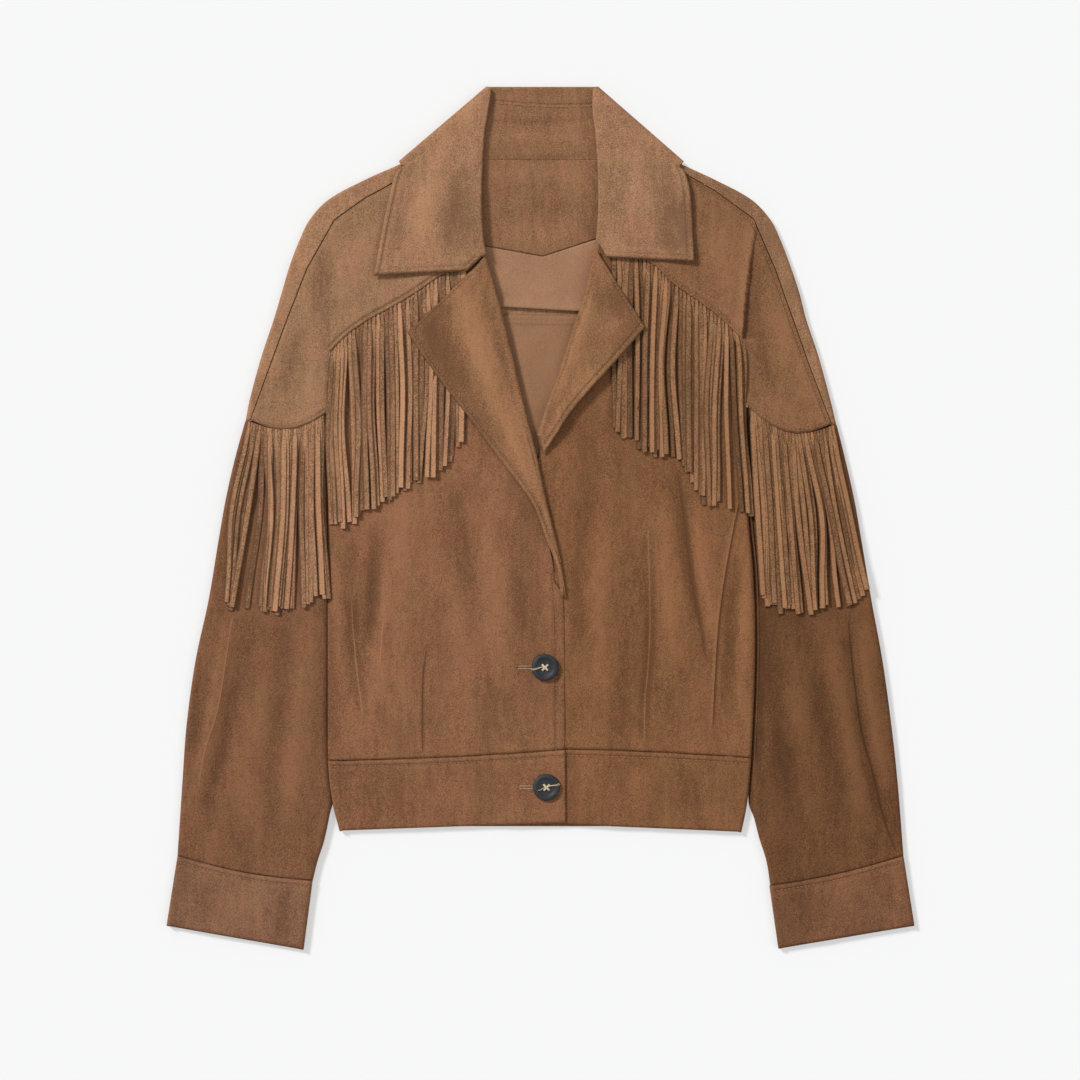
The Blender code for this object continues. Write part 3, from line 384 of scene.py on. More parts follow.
SLEEVE_CREASES = (
    (1.6, 6.5, ((232, 620), (225, 670), (217, 715), (205, 760), (199, 800))),
    (-1.3, 7.0, ((246, 618), (240, 680), (230, 730), (214, 790), (208, 835))),
    (-1.0, 8.0, ((205, 660), (199, 710), (194, 760))),
    (1.0, 10.0, ((268, 640), (262, 700), (252, 770), (245, 830))),
    (-0.9, 9.0, ((290, 620), (286, 690), (276, 760), (268, 830))),
    (1.0, 9.0, ((310, 620), (307, 690), (300, 760), (292, 820))),
    (-0.8, 6.0, ((256, 440), (248, 500), (240, 560))),
    (-1.8, 6.0, ((846, 615), (852, 660), (861, 725), (873, 780), (884, 822), (893, 848))),
    (1.5, 7.5, ((862, 620), (869, 680), (878, 740), (890, 800))),
    (1.2, 9.0, ((833, 620), (840, 680), (850, 740), (862, 800), (872, 840))),
    (-1.0, 9.0, ((812, 630), (818, 690), (830, 750), (842, 810))),
    (1.0, 11.0, ((790, 620), (797, 690), (808, 760), (820, 830))),
    (-0.9, 8.0, ((772, 640), (776, 700), (783, 760), (793, 830))),
    (0.6, 6.0, ((828, 440), (838, 500), (846, 560))),
)
CUFF_CREASES = (
    (-0.6, 8.0, ((215, 872), (212, 900), (210, 925))),
    (0.6, 10.0, ((250, 880), (247, 905), (245, 930))),
    (-0.6, 8.0, ((290, 885), (285, 910), (282, 938))),
    (-0.6, 8.0, ((800, 882), (806, 905), (812, 935))),
    (0.6, 10.0, ((838, 875), (845, 900), (850, 925))),
    (-0.7, 7.0, ((878, 868), (886, 890), (892, 915))),
)
BAND_CREASES = (
    (-0.5, 8.0, ((400, 762), (402, 790), (400, 822))),
    (0.5, 12.0, ((450, 765), (452, 795), (450, 820))),
    (0.5, 10.0, ((640, 762), (642, 790), (640, 820))),
    (-0.5, 9.0, ((690, 762), (693, 790), (690, 822))),
)
LEAF_CREASES = (
    (0.7, 12.0, ((455, 130), (440, 165), (430, 205), (425, 250))),
    (-0.6, 12.0, ((462, 170), (460, 205), (455, 245))),
    (-0.5, 11.0, ((408, 190), (402, 220), (398, 255))),
    (0.7, 13.0, ((622, 130), (632, 165), (640, 205), (640, 245))),
    (-0.7, 11.0, ((655, 165), (668, 195), (675, 230))),
    (-0.5, 9.0, ((612, 165), (614, 200), (616, 240))),
    (-1.0, 13.0, ((676, 205), (678, 230), (668, 254))),
)
LAPEL_CREASES = (
    (1.5, 9.0, ((462, 284), (474, 325), (492, 380), (516, 435), (536, 490))),
    (-0.9, 12.0, ((450, 300), (440, 325), (450, 352), (476, 396))),
    (-0.8, 6.0, ((482, 270), (494, 315), (508, 365), (524, 420))),
    (-0.9, 12.0, ((608, 284), (616, 304), (622, 322))),
    (1.2, 8.0, ((592, 285), (584, 325), (570, 370), (553, 410))),
)
# Painted light and shade on the lapels: how much darker or lighter their colour is, in the same
# columns.
LAPEL_PAINTED_LIGHT_SHADE = (
    (-0.8, 17.0, ((440, 285), (422, 322), (438, 362), (466, 408), (500, 458))),
    (-0.7, 14.0, ((608, 272), (622, 300), (632, 328), (612, 352), (592, 376))),
    (0.4, 9.0, ((468, 300), (482, 340), (504, 395), (524, 450))),
)
# Painted light and shade on the collar's leaves, in the same columns.
LEAF_PAINTED_LIGHT_SHADE = (
    (-0.8, 15.0, ((682, 190), (680, 220), (668, 256))),
    (-0.5, 12.0, ((470, 190), (466, 225), (455, 262))),
    (0.4, 12.0, ((420, 180), (412, 215), (404, 250))),
)
STAND_CREASES = (
    (-0.5, 3.0, ((482, 121), (520, 124), (560, 123), (598, 120))),
    (0.5, 5.0, ((482, 141), (530, 139), (598, 142))),
    (-0.55, 3.2, ((484, 158), (530, 160), (598, 156))),
    (0.35, 7.0, ((486, 180), (540, 176), (598, 184))),
    (-0.3, 8.0, ((500, 205), (545, 212), (590, 200))),
    (0.3, 9.0, ((496, 228), (540, 236), (588, 224))),
)
LINING_CREASES = (
    (0.5, 9.0, ((520, 335), (524, 370), (530, 420))),
    (-0.4, 8.0, ((552, 330), (549, 370), (545, 420))),
)
BACK_CREASES = (
    (1.1, 9.0, ((400, 470), (405, 560), (398, 680))),
    (0.8, 12.0, ((470, 450), (476, 560), (470, 700))),
    (1.2, 8.0, ((540, 480), (536, 580), (545, 720))),
    (0.9, 11.0, ((610, 460), (604, 560), (612, 690))),
    (1.0, 9.0, ((684, 470), (678, 580), (688, 710))),
)
# The armhole's fold: the yoke's body part stands over the sleeve part beside it.
ARMHOLE_FOLD = {
    "left": ((331, 262), (330, 300), (331, 335), (330.6, 352)),
    "right": ((757, 222), (750.5, 256), (745.5, 298), (742, 339)),
}
ARMHOLE_STEP = {"left": 0.6, "right": 3.4}
# Slits, ridges and flat seams of the fronts. Columns: profile, then cols and rows from the
# lower end up.
SLITS = {
    "left": (
        ("seam", ((423, 752), (423, 700), (424, 672), (427, 650))),
        ("ridge", ((364, 716), (359, 683), (354, 633), (352, 600))),
        ("ridge", ((381, 662), (382, 645), (384, 620))),
    ),
    "right": (
        ("ridge", ((644, 742), (645, 700), (648, 668), (650, 620), (648, 530))),
        ("slit", ((713, 726), (716, 668), (719, 624), (725, 579), (733, 533), (743, 486))),
        ("fold", ((706, 662), (702, 635), (694, 590), (687, 538), (678, 474))),
    ),
}
# Columns: share across the profile, height about 0.5. The place of the line is at 0.5.
SLIT_PROFILES = {
    "seam": ((0.0, 0.5), (0.36, 0.6), (0.45, 0.42), (0.5, 0.1), (0.55, 0.42), (0.64, 0.56),
             (1.0, 0.5)),
    "ridge": ((0.0, 0.5), (0.38, 0.46), (0.45, 0.6), (0.5, 0.78), (0.55, 0.6), (0.62, 0.42),
              (1.0, 0.5)),
    "fold": ((0.0, 0.5), (0.2, 0.55), (0.38, 0.5), (0.5, 0.3), (0.62, 0.44), (0.8, 0.56),
             (1.0, 0.5)),
    "slit": ((0.0, 0.5), (0.22, 0.55), (0.38, 0.68), (0.44, 0.5), (0.5, 0.0), (0.57, 0.2),
             (0.7, 0.5), (1.0, 0.5)),
}
SLIT_REACH = 6.0
SLIT_FADE = ((0.0, 0.0), (0.12, 1.0), (0.85, 1.0), (1.0, 0.0))
SLEEVE_SLITS = {
    "left": (("ridge", ((200, 785), (207, 747), (219, 710), (230, 641), (234, 615))),),
    "right": (("seam", ((895, 850), (884, 820), (874, 779), (861, 729), (851, 655), (848, 620))),),
}
# How strongly the slits' and seams' profiles are painted into the colour, as painted shade in their
# grooves and painted highlight on their ridges, and how deep they are in the bump.
SLIT_SHADE = 1.6
SLIT_DEEP = 2.2
# Columns: pattern, features a metre, stretch along the nap, detail, weight in the colour.
SUEDE_PATTERNS = (
    ("patches", 20, 1.0, 3.0, 0.40),
    ("streaks", 62, 0.16, 4.0, 0.60),
    ("strokes", 230, 0.30, 3.0, 0.60),
    ("blots", 110, 1.0, 2.0, 0.20),
    ("grain", 560, 1.0, 2.0, 0.65),
    ("fine", 1250, 1.0, 1.0, 2.0),
)
SUEDE_FIBRES = (("grain", 0.9), ("fine", 0.7), ("strokes", 0.8))
# Columns: red, green and blue of the darkest suede, then place, light, red, green and blue.
SUEDE_COOL = ((1.0, 1.0, 0.96), (0.5, 1.0, 0.97, 1.01, 0.96), (1.0, 1.52, 0.98, 1.01, 0.97))
SUEDE_WARM = ((1.06, 0.94, 0.95), (0.5, 1.0, 1.06, 0.96, 1.0), (1.0, 1.5, 1.05, 0.97, 1.03))
# How much a cloth's painted light and shade or a strand's tone and painted shade counts, and how
# dark each one's darkest suede is.
FACT_WEIGHTS = {"nap": 0.3, "tone": 0.42}
FACT_DARKS = {"nap": 0.5, "tone": 0.28}
# How dark the strands' edges are painted: painted shade between the strands, with darker cut edges.
STRAND_EDGE_SHADE = 1.1

# What has been laid, by piece: its object, its outer face that others lie on, its rows to sew.
PIECES = {}
ROOFS = {}
SEWN = {}


def at(col, row):
    """A place on the pattern grid, in millimetres."""
    return np.array([(col - MID_COL) * STEP, (MID_ROW - row) * STEP])


def soft(value):
    """Rises smoothly from 0 to 1."""
    value = np.clip(value, 0.0, 1.0)
    return value * value * (3 - 2 * value)


def graded(count, ends=0.7):
    """Even shares from 0 to 1, drawn closer together towards both ends."""
    t = np.linspace(0, 1, count)
    return t * (1 - ends) + (0.5 - 0.5 * np.cos(np.pi * t)) * ends


def filled(rows, per):
    """Rows with smooth curves drawn through them, in that many steps between two rows."""
    rows = np.asarray(rows, float)
    flat = rows.reshape(len(rows), -1)
    gaps = np.linalg.norm(np.diff(rows, axis=0), axis=-1).reshape(len(rows) - 1, -1).mean(axis=1)
    gaps = np.maximum(gaps, 1e-6)
    last = len(rows) - 1
    t = np.linspace(0, 1, per + 1)[1:, None]
    made = [flat[:1]]
    for i in range(last):
        a, b, c, d = (flat[min(max(i + k, 0), last)] for k in (-1, 0, 1, 2))
        before = gaps[i - 1] if i > 0 else 0.0
        after = gaps[i + 1] if i < last - 1 else 0.0
        start = (c - a) * gaps[i] / (gaps[i] + before)
        end = (d - b) * gaps[i] / (gaps[i] + after)
        made.append((2 * t**3 - 3 * t**2 + 1) * b + (t**3 - 2 * t**2 + t) * start
                    + (3 * t**2 - 2 * t**3) * c + (t**3 - t**2) * end)
    return np.concatenate(made).reshape(-1, *rows.shape[1:])


def through(table, shares):
    """Points at these shares of the length of a smooth curve through a table's places."""
    return spaced(filled([at(*place[:2]) for place in table], 12), shares)


def spaced(line, shares):
    """Points at these shares of a line's length."""
    steps = np.linalg.norm(np.diff(line, axis=0), axis=1)
    along = np.concatenate([[0], np.cumsum(steps)]) / steps.sum()
    return np.stack([np.interp(shares, along, line[:, k]) for k in range(line.shape[1])], axis=1)


def beside(line, side):
    """Unit normals along a line of points, towards the garment's middle."""
    run = np.gradient(line, axis=0)
    run /= np.maximum(np.linalg.norm(run, axis=1), 1e-9)[:, None]
    turned = np.stack([-run[:, 1], run[:, 0]], axis=1)
    inward = 1.0 if side == "left" else -1.0
    return turned * np.where(turned[:, :1] * inward < 0, -1.0, 1.0)


def near(xy, line):
    """How far each place lies from a line of points, on which side of it and how far along."""
    best = np.full(xy.shape[:-1], 1e9)
    turn = np.ones(xy.shape[:-1])
    share = np.zeros(xy.shape[:-1])
    for i, (a, b) in enumerate(zip(line[:-1], line[1:])):
        run = b - a
        t = np.clip(((xy - a) @ run) / max(run @ run, 1e-9), 0, 1)
        off = xy - a - t[..., None] * run
        far = np.linalg.norm(off, axis=-1)
        closer = far < best
        best = np.where(closer, far, best)
        turn = np.where(closer, np.sign(run[0] * off[..., 1] - run[1] * off[..., 0]), turn)
        share = np.where(closer, (i + t) / (len(line) - 1), share)
    return best, turn, share


def creased(xy, creases):
    """Height that soft creases add, each fading out at its ends."""
    height = np.zeros(xy.shape[:-1])
    for rise, half, places in creases:
        line = through(places, np.linspace(0, 1, 14))
        far, _, share = near(xy, line)
        height += CREASE_GAIN * rise * np.exp(-((far / half) ** 2)) * np.sin(np.pi * share) ** 0.6
    return height


def dents(xy, size, seed):
    """Soft random heights from -1 to 1, for dents of that width and length."""
    heights = np.random.default_rng(seed).uniform(-1, 1, (64, 64))
    spot = xy / np.array(size)
    base = np.floor(spot).astype(int)
    part = soft(spot - base)
    i, j = base[..., 0] % 64, base[..., 1] % 64
    k, m = (i + 1) % 64, (j + 1) % 64
    low = heights[i, j] * (1 - part[..., 0]) + heights[k, j] * part[..., 0]
    high = heights[i, m] * (1 - part[..., 0]) + heights[k, m] * part[..., 0]
    return low * (1 - part[..., 1]) + high * part[..., 1]


def waved(xy, seed):
    """The low waves of cloth that has been laid down by hand."""
    return WAVE_GAIN * (0.44 * dents(xy, (54, 120), seed) + 0.34 * dents(xy, (22, 52), seed + 1)
                        + 0.13 * dents(xy, (8, 15), seed + 2))


def front_top(x, y, side):
    """Height of a front's outer face, without its folds."""
    low = soft((100.0 - y) / 35.0)
    if side == "left":
        return BODY_TOP + LEFT_OVER * soft((x + 45.0) / 25.0) * low
    return BODY_TOP - RIGHT_UNDER * soft((50.0 - x) / 22.0) * low


def yoke_floor(y):
    """Height of the back yoke's outer face over the floor, raised over the collar's fall."""
    return FALL_ROOM * np.clip((y - FALL_LOW) / (FALL_HIGH - FALL_LOW), 0.0, 1.0)


def quads(rows, across, ring, flip):
    """Faces of a sheet of rows."""
    i, j = np.meshgrid(np.arange(rows - 1), np.arange(across if ring else across - 1),
                       indexing="ij")
    k = (j + 1) % across
    made = np.stack([i * across + j, i * across + k, (i + 1) * across + k, (i + 1) * across + j],
                    axis=-1).reshape(-1, 4)
    return made[:, ::-1] if flip else made


def mesh_of(name, points, faces, facts=(), edges=()):
    """A smooth mesh in metres, with a number for each point under each fact's name."""
    mesh = bpy.data.meshes.new(name)
    mesh.from_pydata((points * MM).tolist(), list(edges), np.asarray(faces).tolist())
    for label, values in facts:
        layer = mesh.attributes.new(label, "FLOAT", "POINT")
        layer.data.foreach_set("value", np.asarray(values, np.float32).ravel())
    mesh.shade_smooth()
    return mesh


def placed(obj):
    """Links an object into the scene."""
    bpy.context.scene.collection.objects.link(obj)
    return obj


def plain(obj, name):
    """The mesh that an object's modifiers make. The object is removed."""
    graph = bpy.context.evaluated_depsgraph_get()
    mesh = bpy.data.meshes.new_from_object(obj.evaluated_get(graph))
    mesh.name = name
    bpy.data.objects.remove(obj)
    return mesh


def piece(name, mesh, finish, replaces=()):
    """A finished piece of the garment, which rides with it."""
    obj = placed(bpy.data.objects.new(name, mesh))
    mesh.materials.clear()
    mesh.materials.append(finish)
    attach(obj, "root")
    if replaces:
        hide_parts(*replaces)
    PIECES[name] = obj
    return obj


def cloth(node, points, finish, relief=0.0, rows=(), ring=False, flip=False, wall=WALL,
          lift=0.0, extra_painted_light_shade=0.0):
    """A cut and sewn piece: a sheet through rows of outer points, with its wall turned inwards.

    relief is the height added to each point, lift is how far it stands off what it lies on,
    the last is painted light and shade there, and rows are the lines of stitches sewn through it.
    """
    count, across = points.shape[:2]
    faces = quads(count, across, ring, flip)
    sewn = np.full(points.shape[:2], UNSEWN)
    for line in rows:
        sewn = np.minimum(sewn, near(points[..., :2], line)[0])
    top = soft((points[..., 2] - 2.6) / 1.6) if node not in ("back_body", "hem_band_back") else 0.0
    raised = relief - GROOVE_DEEP * np.exp(-((sewn / 1.3) ** 2)) * top
    raised = raised + GROOVE_PUFF * np.exp(-(((sewn - 3.6) / 2.4) ** 2)) * top
    shaped = points.copy()
    shaped[..., 2] += raised + lift
    shaped = shaped.reshape(-1, 3)
    # Painted light and shade: the second fact paints the colour lighter where the cloth is raised
    # and darker in its creases, seam grooves and sinks, plus any extra painted light and shade.
    mesh = mesh_of(f"{node}_cloth", shaped, faces,
                   (("stitch_row", sewn), ("nap", np.clip(raised / 1.5 + extra_painted_light_shade, -1.6, 1))))
    ROOFS[node] = BVHTree.FromPolygons(shaped.tolist(), faces.tolist())
    obj = piece(f"{node}_cloth", mesh, finish, (node,))
    walled(obj, wall)
    if len(rows):
        SEWN[node] = rows


def walled(obj, thick):
    """Gives a sheet its wall, inwards from the outer face."""
    wall = obj.modifiers.new("wall", "SOLIDIFY")
    wall.thickness = thick * MM
    wall.offset = -1.0


def height_at(x, y, nodes, missing=None):
    """Height of the topmost of these pieces at a place."""
    best = missing
    for node in nodes:
        hit = ROOFS[node].ray_cast((float(x), float(y), 60.0), (0, 0, -1))[0]
        if hit is not None and (best is None or hit.z > best):
            best = hit.z
    return best


def rolled(points, lines, reach=2.4, drop=1.5):
    """How far the points near these free edges sink as the edge rolls over."""
    sink = np.zeros(points.shape[:2])
    for line in lines:
        far, _, _ = near(points[..., :2], line)
        t = np.clip(1 - far / reach, 0, 1)
        sink = np.maximum(sink, drop * (1 - np.sqrt(1 - t**2)))
    return sink


def curled(edge, inward, far, height, under, shares, low=0.0, spans=10):
    """Sections that start under an edge, turn round it and run over the top to a far line."""
    low = np.broadcast_to(low, len(edge))
    radius = (height(edge[:, 0], edge[:, 1], 0.0) - low) / 2
    inner = edge + inward * radius[:, None]
    columns = []
    for t in (1.0, 0.66, 0.33, 0.0):
        columns.append(np.column_stack([inner + inward * under * t, low]))
    for turn in np.pi * np.arange(1, spans) / spans:
        spot = inner - inward * (radius * np.sin(turn))[:, None]
        columns.append(np.column_stack([spot, low + radius * (1 - np.cos(turn))]))
    for u in shares:
        spot = inner + (far - inner) * u
        columns.append(np.column_stack([spot, height(spot[:, 0], spot[:, 1], u)]))
    return np.stack(columns, axis=1)


def front(side, finish):
    """A front: from the side seam underneath, round the side and over to the front edge."""
    shares = np.linspace(0, 1, FRONT_FINE[0])
    over = graded(FRONT_FINE[1], 0.5)
    side_line = through(BODY_SIDE[side][:BAND_START[side] + 1], shares)
    edge_line = through(FRONT_EDGE[side], shares)
    edge_in = -beside(edge_line, side)
    mix = soft((shares - 0.9) / 0.1)[:, None]
    side_in = beside(side_line, side) * (1 - mix) + np.array([INWARD[side], 0.0]) * mix
    place_row = MID_ROW - edge_line[:, 1] / STEP
    back = LAPEL_SET_BACK * soft((LAPEL_ENDS_ROW[side] + 14.0 - place_row) / 14.0)
    far = edge_line + edge_in * back[:, None]
    apart = soft((shares - 0.17) / 0.06)[:, None]
    side_line = side_line + side_in * (SHADOW_GAP[side] * apart - ARMPIT_CLOSE * (1 - apart))

    def height(x, y, u):
        return front_top(x, y, side)

    points = curled(side_line, side_in, far, height, SIDE_UNDER, over)
    first = points.shape[1] - len(over)
    seam = through(YOKE_SEAM[side], np.linspace(0, 1, 80))
    order = np.argsort(seam[:, 0])
    top_row = points[0, first:]
    shift = np.interp(top_row[:, 0], seam[order, 0], seam[order, 1]) - GAP - top_row[:, 1]
    shift *= soft(np.arange(len(over)) / 6.0)
    points[:, first:, 1] += shift * soft(1 - shares / 0.2)[:, None]
    arc = np.sin(np.pi * over)
    points[:, first:, 1] -= BAND_DIP[side] * arc * soft((shares - 0.85) / 0.15)[:, None]
    xy = points[..., :2]
    free = place_row > LAPEL_ENDS_ROW[side] - 10
    top = soft((points[..., 2] - 4.0) / 2.0)
    relief = (creased(xy, BODY_CREASES) + waved(xy, 11 + SIDE_SEED[side])) * top
    relief -= rolled(points, [far[free]]) * top
    relief -= rolled(points, [points[-1, first:, :2]], 1.6, 0.4) * top
    relief *= np.where(np.arange(points.shape[1]) < first, 0.3, 1.0)
    relief -= FRONT_SINKS[side] * np.exp(-((near(xy, side_line)[0] / 7.0) ** 2)) * top
    cloth(f"front_{side}", points, finish, relief,
          [edge_line[free] + edge_in[free] * EDGE_SEWN], flip=(side == "left"))


def band(side, finish):
    """The hem band of one front, with its lower edge turned up inside."""
    shares = graded(BAND_FINE[0], 0.6)
    over = graded(BAND_FINE[1])
    side_line = through(BODY_SIDE[side][BAND_START[side]:], shares)
    edge_line = through(BAND_EDGE[side], shares)
    drop = GAP * (1 - shares)
    side_line[:, 0] += INWARD[side] * SHADOW_GAP[side]
    side_line[:, 1] -= drop
    edge_line[:, 1] -= drop
    mix = soft(1 - shares / 0.3)[:, None]
    side_in = beside(side_line, side) * (1 - mix) + np.array([INWARD[side], 0.0]) * mix

    def height(x, y, u):
        return front_top(x, y, side)

    points = curled(side_line, side_in, edge_line, height, SIDE_UNDER, over)
    first = points.shape[1] - len(over)
    points[:, first:, 1] -= BAND_DIP[side] * np.sin(np.pi * over) * (1 - shares)[:, None]
    xy = points[..., :2]
    top_edge = points[0, first:, :2]
    top = soft((points[..., 2] - 4.0) / 2.0)
    relief = (creased(xy, BAND_CREASES) + 0.8 * waved(xy, 31 + SIDE_SEED[side])) * top
    relief -= rolled(points, [points[-1, first:, :2]], 2.8, 1.9) * top
    relief -= rolled(points, [points[:, -1, :2]], 2.2, 1.4) * top
    relief -= rolled(points, [top_edge], 1.4, 0.8) * top
    relief += seam_puff(xy, top_edge) * top
    relief *= np.where(np.arange(points.shape[1]) < first, 0.3, 1.0)
    cloth(f"hem_band_{side}", points, finish, relief, [top_edge + (0.0, -BAND_SEWN)],
          flip=(side == "left"))


def seam_puff(xy, seam):
    """How far a band or cuff puffs up just below the seam that it hangs from."""
    return 0.5 * np.exp(-(((near(xy, seam)[0] - 2.6) / 1.6) ** 2))


def back_panels(finish):
    """The back and its band on the floor, between the side seams."""
    inset = BODY_TOP / 2 + SIDE_UNDER + GAP + 0.6
    lines = [through(BODY_SIDE[side], np.linspace(0, 1, 200)) for side in SIDES]
    for name, first, last, count in BACK_PANELS:
        y = (MID_ROW - np.linspace(first, last, count)) * STEP
        x0, x1 = (np.interp(-y, -line[:, 1], line[:, 0]) for line in lines)
        u = np.linspace(0, 1, BACK_ACROSS)
        x = (x0 + inset)[:, None] * (1 - u) + (x1 - inset)[:, None] * u
        points = np.stack([x, np.broadcast_to(y[:, None], x.shape), np.zeros(x.shape)], axis=2)
        relief = np.maximum(creased(points[..., :2], BACK_CREASES), 0.0)
        cloth(name, points, finish, relief)


def shoulder_points(side):
    """Where the back yoke ends on top of the shoulder, for each share of the silhouette."""
    outline = through(SILHOUETTE[side], np.linspace(0, 1, 101))
    seam = through(SHOULDER_SEAM[side], np.linspace(0, 1, 101))
    shares = sorted(row[0] for row in BACK_YOKE_ROWS[side])
    found = []
    for share in shares:
        nearest = int(np.argmin(np.hypot(*(seam - outline[round(share * 100)]).T)))
        found.append(seam[100 if share == 1.0 else nearest])
    return np.array(shares), np.array(found)


def yoke_section(edge, inward, radius, target, far, ends_up, opened):
    """One section of the back yoke: shoulder seam, round the edge, then underneath."""
    inner = edge + inward * radius
    points = []

    def lay(spots):
        points.extend((x, y, float(yoke_floor(y))) for x, y in spots)

    if opened <= 0.0:
        lay(edge + inward * radius * k / 20 for k in range(20))
    else:
        low = float(yoke_floor(inner[1]))
        reach = float(np.linalg.norm(target - inner))
        toward = (target - inner) / max(reach, 1e-6)
        turn_all = math.pi * opened
        over = inner - inward * radius * math.sin(turn_all)
        high = low + radius * (1 - math.cos(turn_all))
        for t in np.linspace(1, 0.08, 12):
            points.append((*(over + toward * max(reach * opened, 1.2) * t), high))
        for k in range(8, 0, -1):
            turn = turn_all * k / 8
            points.append((*(inner - inward * radius * math.sin(turn)),
                           low + radius * (1 - math.cos(turn))))
    long = float(np.linalg.norm(far - inner))
    run = (far - inner) / long
    bend = BODY_TOP / 2
    lay(inner + run * (long - bend) * k for k in np.linspace(0, 1, 24))
    if ends_up:
        for turn in np.linspace(0, math.pi / 2, 5)[1:]:
            points.append((*(inner + run * (long - bend + bend * math.sin(turn))),
                           bend * (1 - math.cos(turn))))
        points.append((*far, BODY_TOP - WALL - GAP))
    else:
        lay(inner + run * (long - bend + bend * t) for t in (0.2, 0.4, 0.6, 0.8, 1.0))
    return points


def back_yoke(finish):
    """The back yoke in one with the upper sleeves' backs, brought over the shoulders."""
    halves = {}
    for side in SIDES:
        table = np.array(BACK_YOKE_ROWS[side][::-1], float)
        shares, targets = shoulder_points(side)
        outline = through(SILHOUETTE[side], np.linspace(0, 1, 601))
        normals = beside(outline, side)
        fine = np.unique(np.round(np.concatenate([np.linspace(0, 1, 121), table[:, 0]]), 4))
        halves[side] = []
        for share in fine:
            k = int(round(share * 600))
            edge = outline[k]
            far = at(*(np.interp(share, table[:, 0], table[:, i]) for i in (1, 2)))
            target = np.array([np.interp(share, shares, targets[:, i]) for i in (0, 1)])
            straight = (far - edge) / np.linalg.norm(far - edge)
            mix = float(soft((share - 0.86) / 0.14))
            inward = normals[k] * (1 - mix) + straight * mix
            inward = inward / np.linalg.norm(inward)
            radius = (BODY_TOP - float(yoke_floor(edge[1]))) / 2
            halves[side].append(yoke_section(edge, inward, radius, target, far, share >= 0.43,
                                             float(soft(share / 0.2))))
    middle = [yoke_section(at(col, row), np.array([0.0, -1.0]), 2.2, at(col, row),
                           at(edge_col, edge_row), False, 0.0)
              for col, row, edge_col, edge_row in BACK_NECK_ROWS]
    points = np.array(halves["left"][::-1] + middle + halves["right"])
    relief = 0.7 * waved(points[..., :2], 51) * soft((points[..., 2] - 5.0) / 1.2)
    cloth("back_yoke", points, finish, relief, flip=True)


def front_yoke(side, finish):
    """A front yoke cut in one with the front of the upper sleeve."""
    corner = 0.74
    shares = np.concatenate([np.linspace(0, corner, YOKE_FINE[0]),
                             np.linspace(corner, 1, YOKE_FINE[1])[1:]])
    shoulder = spaced(shoulder_points(side)[1], shares)
    bow = SEAM_BOW[side]
    low_row = through((SLEEVE_OUTER[side][0], SLEEVE_INNER[side][0]), np.linspace(0, 1, 40))
    low_row[:, 1] -= np.sin(np.linspace(0, math.pi, 40)) * bow
    on_seam = shares <= corner
    far = np.concatenate([
        through(YOKE_SEAM[side], 0.04 + 0.96 * shares[on_seam] / corner) + (0.0, GAP),
        through(SLEEVE_TOP_INNER[side], (shares[~on_seam] - corner) / (1 - corner)),
    ])
    run = (far - shoulder) / np.linalg.norm(far - shoulder, axis=1)[:, None]
    close = shoulder + run * (GAP + 0.6)
    dip = bow * np.maximum(0.0, (shares - 0.72) / 0.28) ** 1.5
    u = graded(YOKE_FINE[2])
    xy = close[:, None] * (1 - u)[None, :, None] + far[:, None] * u[None, :, None]
    xy[..., 1] -= dip[:, None] * np.sin(np.pi * u)
    beyond = soft(1.0 - near(xy, through(YOKE_SEAM[side], np.linspace(0, 1, 80)))[0] / 24.0)
    below = soft(1.0 - near(xy, low_row)[0] / 20.0)
    z = BODY_TOP + np.maximum(SEAM_RISE * np.maximum(beyond, below),
                              NECK_RISE * soft(1.0 - (np.abs(xy[..., 0]) - 50.0) / 60.0))
    points = np.dstack([xy, z])
    far_fold, turn, share = near(xy, through(ARMHOLE_FOLD[side], np.linspace(0, 1, 30)))
    deep = ARMHOLE_STEP[side] * np.sin(np.pi * np.clip(share * 0.5 + 0.12, 0, 1)) ** 1.5
    step = np.where(-INWARD[side] * turn > 0, -np.exp(-(far_fold / 11.0)),
                    0.65 * np.exp(-(far_fold / 7.0)))
    relief = creased(xy, YOKE_CREASES) + waved(xy, 61 + SIDE_SEED[side])
    relief = relief * soft(u / 0.05)[None] * soft((1 - u) / 0.06)[None]
    relief += np.where((share > 0) & (share < 1), deep * step, 0.0) * soft((1 - u) / 0.03)[None]
    seam_edge, low_edge = points[:, -1, :2][on_seam], points[-1, :, :2]
    relief -= rolled(points, [seam_edge], 2.0, 1.0)
    relief -= rolled(points, [low_edge], 2.0, 1.0)
    sewn = spaced(seam_edge, np.linspace(0.02, 0.985, 90))
    steps = np.diff(sewn, axis=0)
    normal = np.stack([-steps[:, 1], steps[:, 0]], axis=1)
    normal = np.concatenate([normal, normal[-1:]])
    normal /= np.linalg.norm(normal, axis=1)[:, None]
    normal *= np.where(normal[:, 1:] < 0, -1.0, 1.0)
    rows = [sewn + normal * YOKE_SEWN,
            spaced(low_edge, np.linspace(0.03, 0.97, 80)) + (0.0, YOKE_SEWN)]
    if side == "right":
        shoulder_row = spaced(close, np.linspace(0.12, 0.985, 90))
        rows.append(shoulder_row + beside(shoulder_row, side) * 2.6)
    cloth(f"front_yoke_{side}", points, finish, relief, rows, flip=(side == "left"))


